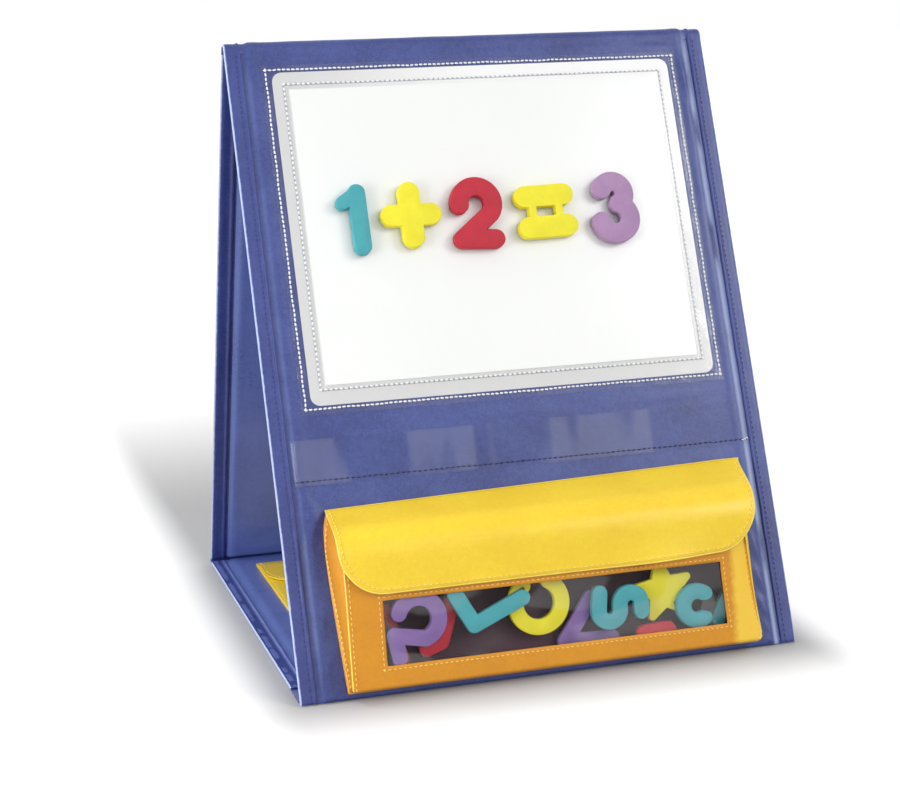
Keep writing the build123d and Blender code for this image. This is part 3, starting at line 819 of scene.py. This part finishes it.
heights = [-12.4, -10.5, -8.2, -6.4, -4.6, -2.8, -1.2, 0, 1.2, 2.8, 5, 7.5, 10.2, window_low]
heights += steps(window_low, window_high, 4)[1:]
heights += [50.2, 52, 54, 56, 58, 60, 62.5, 65, 68, 72, 77, pouch_height]
front_x = mirrored([pouch_half, 123.2, 121.8, 119.5, 116, 112, 108, 105, window_half], 4.6)
front_rows = [[pouch_front_point(x, height) for x in front_x] for height in heights]
columns = len(front_x) - 1


def in_window(index):
    row, column = divmod(index, columns)
    x = (front_x[column] + front_x[column + 1]) / 2
    height = (heights[row] + heights[row + 1]) / 2
    return abs(x) < window_half and window_low < height < window_high


pouch_front = cloth(
    "pouch_front_sheet", front_rows, [yellow_vinyl], 0.7,
    "front_panel", "yellow_vinyl", ["pouch_front"], in_window,
)

window_film = clear_vinyl_finish("window_film", 26, 0.02, 0.4, (0.6, 1, 1.6))
window_rows = []
for height in steps(window_low - 5, window_high + 5, 3):
    window_rows.append([
        on_pouch(x, height, -0.55 + min(front_bulge(x, height), 0.35) * 0.7)
        for x in steps(-108.5, 108.5, 4)
    ])
pouch_window = cloth(
    "pouch_window_film", window_rows, [window_film], 0.25,
    "front_panel", "clear_vinyl", ["pouch_window"],
)


def wall_depth(level):
    """How far the side wall stands out of the panel, from its top corner down to the bend."""
    return (level - 276) * 1.08 if level < 301 else 10.0 + (bend_level - level) * 0.2038


def wall_point(side, level, turn):
    """Turn runs from 0 at the panel to 1 at the front's edge."""
    depth = wall_depth(level)
    share = min(1.0, depth / 26)
    share *= 1 - 0.85 * (max(0, level - 301) / 80) ** 1.3
    lip = narrowed(123.4, (bend_level - level) / tilt_cos) if side > 0 else 123.4
    seat = 123.6 + 4.2 * share
    bow = (3.2 + 1.2 * drift(71, side * 40, level, 18)) * share * math.sin(math.pi * turn) ** 0.8
    return on_front(side * (seat + (lip - seat) * turn + bow), level, 5.6 + depth * turn)


def rolled_edge(name, body, paths, radius):
    """The turned edge of the yellow vinyl: a slim roll along each path, its ends closed, in a
    paler yellow that is a painted highlight.
    """
    rolls = []
    for path in paths:
        rows = []
        for index, spot in enumerate(path):
            ahead = (path[min(index + 1, len(path) - 1)] - path[max(index - 1, 0)]).normalized()
            beside = ahead.cross(front_out).normalized()
            above = beside.cross(ahead)
            rows.append([
                spot + (beside * math.cos(angle) + above * math.sin(angle)) * radius / 1000
                for angle in (math.radians(60 * corner) for corner in range(6))
            ])
        rolls.append(skin(f"{name}_{len(rolls)}", rows, True, [rolled_vinyl_painted_highlight], None, 80))
    whole = bmesh.new()
    for roll in rolls:
        whole.from_mesh(roll.data)
    for roll in rolls[1:]:
        bpy.data.objects.remove(roll)
    piece = rolls[0]
    whole.to_mesh(piece.data)
    whole.free()
    piece.data.shade_smooth()
    piece.name = name
    return fit(piece, body, "yellow_vinyl")


fold_paths = [
    [pouch_front_point(side * pouch_half, height) for height in steps(0, pouch_height, 4)]
    for side in (-1, 1)
]
pouch_out = on_pouch(0, 0, 1) - on_pouch(0, 0, 0)
pouch_seams = loop(over_pouch, pouch_out, window_half + 2, window_high + 2, window_low - 2, 0.45)
for side in (-1, 1):
    pouch_seams.append((run(over_pouch, (side * 122.2, 0.5), (side * 122.2, 81), 0.45), pouch_out))
for word, side in (("left", -1), ("right", 1)):
    wall_rows = [
        [wall_point(side, level, turn) for turn in steps(0, 1, 0.1)] for level in steps(280, 380.6, 3)
    ]
    wall = cloth(
        f"pouch_side_{word}", wall_rows, [yellow_vinyl], 0.6,
        "front_panel", "yellow_vinyl", [f"pouch_gusset_{word}"],
    )
    fold_paths.append([wall_point(side, level, 0.03) for level in steps(281, 380, 4)])
    outward = Vector((side, 0, 0))
    side_seam = [wall_point(side, level, 5.2 / wall_depth(level)) for level in steps(286, 378, 2.5)]
    pouch_seams.append(([spot + outward * 0.0004 for spot in side_seam], outward))
rolled_edge("pouch_edges", "front_panel", fold_paths, 0.5)
sew("pouch_stitches", "front_panel", pouch_seams, gold_thread, "yellow_vinyl", 3.0, 2.1, 0.65)


# Pouch flap. One piece of the yellow vinyl runs from the panel over the mouth and down the
# front, with round lower corners and a turned edge sewn all round; its right end lifts a little.
flap_corner = 24
flap_side = 125.4
crest = Vector((-296.4, 36.2))
foot = Vector((-329.4, 29.4))


def flap_spans(x):
    """The flap's sewn edge, which slants, and the lengths from there to the crest and the foot."""
    hinge = Vector((slant * x - 274.6, 6.4))
    return hinge, (crest - hinge).length, (foot - crest).length


def flap_point(x, run_length):
    """A point of the flap, up and out, at a distance down from its sewn top edge."""
    hinge, first, second = flap_spans(x)
    rise = (crest - hinge).normalized()
    fall = (foot - crest).normalized()
    reach = 15.0
    if run_length < first - reach:
        spot = hinge + rise * run_length
        way = rise
    elif run_length > first + reach:
        spot = crest + fall * (run_length - first)
        way = fall
    else:
        share = (run_length - first + reach) / (2 * reach)
        start = crest - rise * reach
        end = crest + fall * reach
        spot = start * (1 - share) ** 2 + crest * 2 * share * (1 - share) + end * share ** 2
        way = ((crest - start) * (1 - share) + (end - crest) * share).normalized()
    lift = 0.55 * drift(81, x, run_length, 46) + 0.22 * drift(82, x, run_length, 15)
    lift *= min(1, run_length / 8)
    edge = max(0, run_length / (first + second) - 0.6) / 0.4
    wave = 0.5 + 0.4 * math.sin(x / 21 + 0.6)
    curl = 3.0 * bell(x - 72, 26) + 0.7 * bell(x + 70, 22)
    held = math.exp(-((x / 33) ** 6)) * min(1, edge * 4)
    lift = (lift + edge ** 2 * (wave + curl)) * (1 - held)
    return spot + Vector((way.y, -way.x)) * lift


def flap_half(x, run_length):
    """Half the flap's width, more at the top right, where it pulls away from the panel."""
    share = min(1, run_length / 60)
    return 132.0 - 7.6 * share ** 0.6 if x > 0 else 125.5 + 1.5 * math.sin(math.pi * share * 0.9)


def round_columns(half, corner, step):
    """Places across a flap, each with how much of its round lower corner is cut away there."""
    straight = half - corner
    angles = [math.radians(angle) for angle in range(0, 91, 9)]
    bend = [(straight + corner * math.sin(angle), 1 - math.cos(angle)) for angle in angles]
    level_part = [(x, 0.0) for x in steps(-straight, straight, step)[1:-1]]
    return [(-x, cut) for x, cut in bend[::-1]] + level_part + bend


def flap_place(x, run_length):
    wider = flap_half(x, run_length) / flap_side - 1
    spread = x * (1 + wider * min(1, (abs(x) / flap_side) ** 3))
    spot = flap_point(x, run_length)
    return on_front(spread, -spot.x, spot.y)


def flap_length(x, cut):
    """The flap's length at x, where cut of a round corner is missing."""
    hinge, first, second = flap_spans(x)
    rise = 3.0 * max(0, (x - 50) / 75) ** 1.3
    return first + second - rise - flap_corner * cut


flap_columns = round_columns(flap_side, flap_corner, 3.5)
flap_rows = []
for down_to in steps(0, 1, 0.028):
    flap_rows.append([flap_place(x, flap_length(x, cut) * down_to) for x, cut in flap_columns])
pouch_flap = cloth(
    "pouch_flap_sheet", flap_rows, [flap_vinyl], 0.8, None, "yellow_vinyl", ["pouch_flap"]
)
settle(pouch_flap)


def sewn_on(piece):
    """The piece's placement worked into its mesh; the flap's sewn edge already lies on the panel."""
    hinge_level = 275
    hinge_out = 6.7
    start = on_front(0, hinge_level + 0.3, hinge_out + 0.4)
    end = on_front(0, hinge_level + 3.8, hinge_out + 5.2)
    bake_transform(piece)


sewn_on(pouch_flap)

left_edge = [row[0] for row in flap_rows]
right_edge = [row[-1] for row in flap_rows]
flap_rim = left_edge + flap_rows[-1][1:-1] + right_edge[::-1] + flap_rows[0][-2:0:-1] + [left_edge[0]]
sewn_on(rolled_edge("flap_edge", None, [flap_rim], 0.55))
inset_columns = [(x * 0.984, cut) for x, cut in flap_columns]
left_x = inset_columns[0][0]
right_x = inset_columns[-1][0]


def over_flap(x, run_length):
    spot = flap_place(x, run_length)
    ahead = flap_place(x, run_length + 0.5) - flap_place(x, run_length - 0.5)
    beside = flap_place(x + 0.5, run_length) - flap_place(x - 0.5, run_length)
    normal = beside.cross(ahead).normalized()
    if normal.dot(front_out) < 0:
        normal = -normal
    return spot + normal * 0.0006, normal


left_end = flap_length(left_x, 1.0)
right_end = flap_length(right_x, 1.0)
flap_line = [over_flap(left_x, run_length) for run_length in steps(1.5, left_end, 2.0)]
flap_line += [over_flap(x, flap_length(x, cut) - 2.1) for x, cut in inset_columns]
flap_line += [over_flap(right_x, run_length) for run_length in steps(right_end, 1.5, 2.0)]


def sew_around(name, body, line, pitch, length, width):
    """Gold stitches along one line whose cloth turns as it goes."""
    seams = []
    for index in range(0, len(line) - 4, 4):
        part = line[index : index + 5]
        seams.append(([spot for spot, way in part], part[2][1]))
    rest = line[(len(line) - 1) // 4 * 4 :]
    if len(rest) > 1:
        seams.append(([spot for spot, way in rest], rest[0][1]))
    return sew(name, body, seams, gold_thread, "yellow_vinyl", pitch, length, width)


sewn_on(sew_around("flap_stitches", None, flap_line, 3.0, 2.3, 0.9))


# Hook and loop. Closure strips: hooks under the flap and on the turned-up tab, loops on the
# pouch and on the front panel's inside. The loop side is a matted nylon pile.
hook_and_loop = Finish("hook_and_loop", roughness=0.9)
pile = hook_and_loop.speckle(0.8, 5.0, 0.75)
hook_and_loop.set(base_color=hook_and_loop.blend(pile, (52, 58, 104), (92, 100, 158)))
hook_and_loop.set(normal=hook_and_loop.bump(pile, 0.35))
coat(hook_and_loop, "pouch_loop_strip", "flap_hook_strip", "front_loop_strip", "tab_hook_strip")


# Foam numbers. Die-cut EVA foam about 6 mm thick, matt with fine closed pores, its cut edges
# slightly rounded and smoother. A flexible magnet is glued behind each piece.
def foam(name, light, dark):
    finish = Finish(name)
    pores = finish.speckle(0.45, 3.0, 0.65)
    cloud = finish.speckle(9, 3.0)
    tone = pores * 0.5 + cloud * 0.5
    finish.set(base_color=finish.blend(tone.above(0.5, 0.2), dark, light))
    finish.set(roughness=cloud * 0.2 + 0.6, normal=finish.bump(pores, 0.06))
    return finish.material


def opened(node):
    """A copy of a CAD node's mesh, opened for work with its triangles merged."""
    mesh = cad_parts[node].data.copy()
    work = bmesh.new()
    work.from_mesh(mesh)
    bmesh.ops.remove_doubles(work, verts=work.verts, dist=2e-6)
    bmesh.ops.dissolve_limit(
        work, angle_limit=math.radians(0.5), verts=work.verts, edges=work.edges
    )
    return mesh, work


def closed(name, mesh, work, finish):
    """A new object of the mesh after the work on it, in one finish."""
    work.to_mesh(mesh)
    work.free()
    mesh.materials.clear()
    mesh.materials.append(finish)
    return new_object(name, mesh)


def softened(name, node, finish, slot, body, width):
    """A padded copy of a CAD node with its edges rounded over."""
    mesh, work = opened(node)
    rims = [edge for edge in work.edges if len(edge.link_faces) == 2 and edge.calc_face_angle() > 0.9]
    bmesh.ops.bevel(
        work, geom=rims, offset=width / 1000, segments=2, profile=0.5, affect="EDGES",
        clamp_overlap=True,
    )
    piece = closed(name, mesh, work, finish)
    mesh.shade_smooth()
    mesh.set_sharp_from_angle(angle=math.radians(38))
    fit(piece, body, slot, node)


teal_foam = foam("teal_foam", (76, 168, 176), (62, 154, 164))
yellow_foam = foam("yellow_foam", (240, 230, 52), (228, 216, 36))
red_foam = foam("red_foam", (192, 42, 60), (174, 28, 48))
purple_foam = foam("purple_foam", (174, 140, 178), (158, 122, 164))
for word, finish, slot in (
    ("one", teal_foam, "foam_teal"), ("plus", yellow_foam, "foam_yellow"),
    ("two", red_foam, "foam_red"), ("equals", yellow_foam, "foam_yellow"),
    ("three", purple_foam, "foam_purple"),
):
    softened(f"number_{word}", f"foam_{word}", finish, slot, f"foam_{word}", 0.55)
magnet = Finish("magnet_sheet", roughness=0.55)
rubber = magnet.speckle(0.7, 3.0, 0.6)
magnet.set(base_color=magnet.blend(rubber, (44, 40, 38), (70, 64, 60)))
magnet.set(normal=magnet.bump(rubber, 0.03))
coat(magnet, "loose_magnets")


def backing(word):
    """The magnet behind one number: its outline a little inside the foam's, and 1 mm thick."""
    mesh, work = opened(f"foam_{word}")
    bmesh.ops.recalc_face_normals(work, faces=work.faces)
    way = front_out.normalized()
    zero = on_front(0, 0, 0).dot(way)
    for vert in work.verts:
        pull = Vector((0, 0, 0))
        for face in vert.link_faces:
            if abs(face.normal.dot(way)) < 0.5:
                pull += face.normal
        out = 0.00726 if vert.co.dot(way) - zero > 0.0083 else 0.0063
        vert.co -= pull.normalized() * 0.0006
        vert.co -= way * (vert.co.dot(way) - zero - out)
    piece = closed(f"backing_{word}", mesh, work, magnet.material)
    fit(piece, f"foam_{word}", "magnet_sheet", f"magnet_{word}")


for word in ("one", "plus", "two", "equals", "three"):
    backing(word)


# Loose foam pieces. A jumble of the same die-cut pieces lies in the pouch in two layers,
# showing through the window.
deep_purple_foam = foam("deep_purple_foam", (140, 110, 172), (118, 90, 150))
dark_red_foam = foam("dark_red_foam", (170, 30, 44), (130, 18, 32))
for word, finish, slot in (
    ("two", deep_purple_foam, "foam_purple"),
    ("corner", teal_foam, "foam_teal"),
    ("curve", teal_foam, "foam_teal"),
    ("minus", red_foam, "foam_red"),
    ("hook", red_foam, "foam_red"),
    ("ring", yellow_foam, "foam_yellow"),
    ("angle", deep_purple_foam, "foam_purple"),
    ("star", yellow_foam, "foam_yellow"),
    ("bar", teal_foam, "foam_teal"),
    ("one", dark_red_foam, "foam_red"),
):
    softened(f"pouch_{word}", f"loose_{word}", finish, slot, "front_panel", 0.5)
rounding = (0.2, 0.45, 0.7, 0.88, 1)
arc = [52 - 29 * past for past in rounding[::-1]] + steps(52, 300, 9)
arc += [300 + 29 * past for past in rounding]
section = ((-1, -5.9), (-1, -2.2), (-0.9, -1.75), (0.9, -1.75), (1, -2.2), (1, -5.9))
hook_rows = []
for angle in arc:
    past = max(52 - angle, angle - 300, 0) / 29
    half = 4.6 * math.sqrt(max(1 - past ** 2, 0.003))
    turn = math.radians(angle)
    ring = []
    for across, depth in section:
        radius = 8.5 + half * across
        ring.append(on_pouch(86.6 + radius * math.cos(turn), 24 + radius * math.sin(turn), depth))
    hook_rows.append(ring)
hook = fit(
    skin("pouch_spiral", hook_rows, True, [teal_foam]), "front_panel", "foam_teal", "loose_spiral"
)


# Top fold. The vinyl of the two leaning panels runs over the top in one band, soft over the
# board's edge and pressed at both ends, with the tape carried over it.
def fold_finish(centre):
    return 1 if abs(centre.x) > 142.6 else 0


tape_profile = [(142.6, 1.0), (143.1, 1.5), (143.7, 1.68), (144.5, 1.5), (145.1, 1.16), (146.2, 1.04)]
tape_profile += [(148.5, 1.22), (150.6, 1.22), (151.7, 1.02), (152.5, 0.5)]
ends_x = [152.4, 151.6, 150.4, 148.2, 146, 145, 144.5, 143.7, 143, 142.6, 141.6, 140.6, 139.6]
ends_x += [138.4, 137]
fold_x = [-x for x in ends_x] + steps(-134, 134, 4) + ends_x[::-1]
fold_rows = []
for x in fold_x:
    away = abs(x)
    outer = middle + max(half_depth(x), 1.0) + 0.02
    for (x1, depth1), (x2, depth2) in zip(tape_profile, tape_profile[1:]):
        if x1 < away <= x2:
            outer = middle + depth1 + (depth2 - depth1) * (away - x1) / (x2 - x1) + 0.02
    rise = 0.16 * drift(91, x, 0, 16) * (1 if away < 140 else 0.3)
    faces = []
    for radius in (outer, outer - 0.6):
        face = [on_front(x, level, radius) for level in (3.2, 1.5)]
        for angle in steps(21.7 - 90, 90 - 21.7, 11):
            turn = math.radians(angle)
            reach = radius + rise * math.cos(turn * 1.3)
            y = fold_y + reach * math.sin(turn)
            face.append(Vector((x, y, fold_z + reach * math.cos(turn))) / 1000)
        faces.append(face + [on_back(-x, level, radius) for level in (1.5, 3.2)])
    fold_rows.append(faces[0] + faces[1][::-1])
top_fold = skin("top_fold", fold_rows, True, [blue_vinyl, blue_tape], fold_finish, 60)
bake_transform(top_fold)
fit(top_fold, None, "blue_vinyl", "top_hinge")


# Rear fold. The vinyl of the back panel turns under at the rear foot and becomes the base,
# and its last few millimetres above the table are crumpled from folding.
rear_rows = []
for x in fold_x:
    pinch = 0.35 if abs(x) > 141 else 0.0
    ripple = 0.22 * drift(95, x, 0, 12)
    outer = [(-8.2, 0.0), (-6, 0.0), (-4, 0.0)]
    for angle in steps(0, 68.3, 11):
        turn = math.radians(angle)
        outer.append((-3.4 + 3.6 * math.sin(turn) * 0.92, 3.8 * (1 - math.cos(turn)) * 0.95))
    for length in (3.6, 4.8, 6.4):
        outer.append((-slope_sin * length, slope_cos * length))
    inner = []
    for y, z in outer:
        way = (Vector((-6.0, 4.6)) - Vector((y, z))).normalized()
        inner.append((y + way.x * 0.6, max(z + way.y * 0.6, 0.6)))
    ring = []
    for y, z in outer + inner[::-1]:
        bend = (ripple * 0.3 if z > 3 else 0) + (pinch if z > 2 else 0)
        ring.append(Vector((x, rear_corner_y + y - bend, z)) / 1000)
    rear_rows.append(ring)
rear_fold = skin("rear_fold", rear_rows, True, [blue_vinyl, blue_tape], fold_finish, 60)
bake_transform(rear_fold)
fit(rear_fold, None, "blue_vinyl", "rear_hinge")


# Base closure. The base's vinyl runs on past its board as a limp apron on the table, and its
# end is turned up behind the front panel, where hook and loop hold it.
apron_rows = []
for y in steps(-133.3, rear_corner_y - 266.2, 2.4):
    apron_rows.append([
        Vector((x, y, 0.55 + 0.25 * (1 + drift(101, x, y, 24)))) / 1000 for x in steps(-152, 152, 5)
    ])
apron = cloth("apron_sheet", apron_rows, [blue_vinyl], 0.9, "base_panel", "blue_vinyl", ["base_apron"])
leaf_rows = []
for level in steps(385 - 21.4, 385 - 1.2, 2.0):
    leaf_rows.append([
        on_front(x, level, -1.2 + 0.08 * drift(103, x, level, 18)) for x in steps(-145, 145, 5)
    ])
leaf = cloth("tab_sheet", leaf_rows, [blue_vinyl], 0.9, "closing_tab", "blue_vinyl", ["tab_leaf"])


# Base pouch. A second yellow pouch lies flat on the base, sewn on three sides, with its own
# round-cornered flap; only its rear corner shows from the front.
def on_floor_panel(x, level, height):
    """Across, forward from the rear corner, and up from the base's top face, in mm."""
    return Vector((x, rear_corner_y - level, 3.4 + height)) / 1000


def base_cloth(name, rows, ply, body, *nodes):
    return cloth(name, rows, [flap_vinyl], ply, body, "yellow_vinyl", nodes)


lower_rows = []
for level in [28, 28.3, 29] + steps(31, 133, 5) + [134.6, 135]:
    lower_rows.append([
        on_floor_panel(x, level, 0.32 + 0.06 * (1 + drift(111, x, level, 20)))
        for x in steps(-125, 125, 5)
    ])
base_back = base_cloth("base_pouch_back", lower_rows, 0.6, "base_panel", "base_pouch")
upper_rows = []
for level in [40, 40.3, 41] + steps(44, 129, 4) + [131, 133, 134.4, 135]:
    row = []
    for x in mirrored([125, 124.2, 122.5, 120.5, 117], 5):
        inside = min(1, (125 - abs(x)) / 7, (135 - level) / 8)
        belly = 1.25 * math.sin(math.pi / 2 * max(0, inside))
        row.append(on_floor_panel(x, level, 0.98 + belly * (1 + 0.2 * drift(112, x, level, 24))))
    upper_rows.append(row)
base_front = base_cloth("base_pouch_front", upper_rows, 0.6, "base_panel")
base_seams = [
    (run(on_floor_panel, (side * 122.6, 41), (side * 122.6, 131), 1.75), -down) for side in (-1, 1)
]
base_seams.append((run(on_floor_panel, (-122, 132.6), (122, 132.6), 1.75), -down))
sew("base_pouch_stitches", "base_panel", base_seams, gold_thread, "yellow_vinyl", 2.7, 2.0, 0.75)


def base_flap_place(x, run_length, lift=0.0):
    """From the hinge over the mouth's edge, then flat on the pouch, or lift mm above that."""
    climb = min(1, run_length / 13)
    wave = 0.25 * drift(121, x, run_length, 30) * climb
    return on_floor_panel(x, 30 + run_length, 1.85 + 1.75 * soft_step(climb) + wave + lift)


base_columns = round_columns(125, flap_corner, 4)
base_flap_rows = []
for down_to in steps(0, 1, 0.04):
    base_flap_rows.append([
        base_flap_place(x, (54 - flap_corner * cut) * down_to) for x, cut in base_columns
    ])
base_flap = base_cloth("base_flap_sheet", base_flap_rows, 0.7, "base_flap", "base_flap")
base_line = [base_flap_place(-122.6, down_to, 0.5) for down_to in steps(2, 30, 2)]
base_line += [base_flap_place(x * 0.982, 51.8 - flap_corner * cut, 0.5) for x, cut in base_columns]
base_line += [base_flap_place(122.6, down_to, 0.5) for down_to in steps(30, 2, 2)]
sew_around("base_flap_stitches", "base_flap", [(spot, -down) for spot in base_line], 2.7, 1.9, 0.5)


# Back pockets. Four clear card pockets run across the back panel, each sewn along its lower
# edge and at both ends, with the mouth standing slightly open.
pocket_film = clear_vinyl_finish("pocket_film", 40, 0.01, 0.3, (1, 0.5, 0.5))
back_seams = tape_seams(*panels["back"], back_out)
for number in range(4):
    first = 28 + 86 * number
    made = (f"card_pocket_{number + 1}", on_back, first, first + 62, 3, 5, 131 + number, 0.25, 30)
    pocket = card_pocket(*made, pocket_film, "back_panel", f"back_pocket_{number + 1}")
    back_seams.append((run(on_back, (-140, first + 60), (140, first + 60), 5.3, 0.25), back_out))

front_seams = tape_seams(*panels["front"], front_out)
sew("front_panel_stitches", "front_panel", front_seams, blue_thread, "blue_tape", 3.1, 2.2, 0.7)
dark_thread = thread("dark_thread", (36, 44, 92), (22, 27, 64))
strip_seam = [(run(on_front, (-140, 260), (140, 260), 5.55, 0.3), front_out)]
sew("strip_stitches", "front_panel", strip_seam, dark_thread, "blue_tape", 3.3, 2.3, 0.85, 0.2)
knot = [(run(on_front, (137.5, 260.4), (140.5, 259.4), 5.8, 0.0, 1.0), front_out)]
sew("strip_thread_end", "front_panel", knot, white_thread, "blue_tape", 1.1, 2.0, 0.8, 1.2)
sew("back_panel_stitches", "back_panel", back_seams, blue_thread, "blue_tape")
sew("base_panel_stitches", "base_panel", tape_seams(*panels["base"], down), blue_thread, "blue_tape")


# Studio. A floor under a white world: it glows white for the camera and in reflections away
# from the chart, and keeps a painted shadow around and behind the chart, where it does not glow.
# A very soft sun from the front, a rectangular lamp to the right of the chart and two to its
# left. The camera stands left of the chart and a little above its middle, with a long lens.
floor_mesh = bpy.data.meshes.new("floor")
floor_mesh.from_pydata([(-12, -12, 0), (12, -12, 0), (12, 12, 0), (-12, 12, 0)], [], [(0, 1, 2, 3)])
floor = new_object("floor", floor_mesh)
floor_paint = Finish("floor_paint", roughness=0.7, base_color=(0.44, 0.44, 0.445, 1))
# Painted shadow: the floor glows white for the camera only away from the chart's footprint and the
# stretch behind it, so that it stays dark there.
beside = (abs(floor_paint.axis("X")) - 0.1525).most(0.0)
to_rear = floor_paint.axis("Y")
before = (-0.137 - to_rear).most(0.0) / 2.2
behind = (to_rear - 0.3).most(0.0) / 14
past_painted_shadow = ((beside * beside + before * before + behind * behind) ** 0.5).above(0.016, 0.02)
far_off = floor_paint.add("ShaderNodeVectorMath", {0: floor_paint.place}, "Value", operation="LENGTH")
seen = floor_paint.add("ShaderNodeLightPath", output="Is Camera Ray")
seen = seen.most(floor_paint.add("ShaderNodeLightPath", output="Is Glossy Ray"))
floor_paint.set(emission_color=(1, 1, 1, 1))
floor_paint.set(emission_strength=seen * (far_off.above(1.1, 0.8) * 0.15 + past_painted_shadow * 0.64))
floor_mesh.materials.append(floor_paint.material)

world = bpy.data.worlds.new("studio")
bpy.context.scene.world = world
world.use_nodes = True
sky = Nodes(world.node_tree)
straight = sky.add("ShaderNodeLightPath", output="Is Camera Ray")
for word in ("Transmission", "Glossy"):
    straight = straight.most(sky.add("ShaderNodeLightPath", output=f"Is {word} Ray"))
strength = sky.add("ShaderNodeMapRange", {"Value": straight, "To Min": 0.74, "To Max": 1.0})
white = sky.add("ShaderNodeBackground", {"Color": (1, 1, 1, 1), "Strength": strength})
sky.add("ShaderNodeOutputWorld", {"Surface": white})


def lamp(name, kind, power, spot, way, **settings):
    light = bpy.data.lights.new(name, kind)
    light.energy = power
    for key, value in settings.items():
        setattr(light, key, value)
    piece = new_object(name, light)
    piece.location = spot
    piece.rotation_euler = Vector(way).to_track_quat("-Z", "Y").to_euler()


lamp("front_lamp", "SUN", 0.13, (0, 0, 0), (-0.1, 1.0, -0.6), angle=math.radians(40))
for name, spot, aim, wide, tall, power in (
    ("right_lamp", (0.95, -1.1, 0.95), (0, 0, 0.15), 0.5, 0.6, 7.0),
    ("low_lamp", (-0.75, -0.42, 0.24), (-0.1, 0.05, 0.1), 0.5, 0.4, 2.8),
    ("side_lamp", (-0.85, 0.1, 0.72), (-0.12, 0.03, 0.0), 0.4, 0.4, 3.4),
):
    way = Vector(aim) - Vector(spot)
    lamp(name, "AREA", power, spot, way, shape="RECTANGLE", size=wide, size_y=tall)

lens = bpy.data.cameras.new("camera")
lens.sensor_width = 36
focal_pixels = 1913.96
lens.lens = focal_pixels * lens.sensor_width / 900
lens.clip_end = 40
camera = new_object("camera", lens)
look = Vector((0.27818, 0.93733, -0.20984)).normalized()
side = Vector((0.95687, -0.28949, -0.02462)).normalized()
head = side.cross(look).normalized()
side = look.cross(head).normalized()
turn = Matrix((side, head, -look)).transposed().to_4x4()
camera.matrix_world = Matrix.Translation((-0.355364, -1.133316, 0.390623)) @ turn
bpy.context.scene.camera = camera
bpy.context.scene.view_settings.view_transform = "Standard"
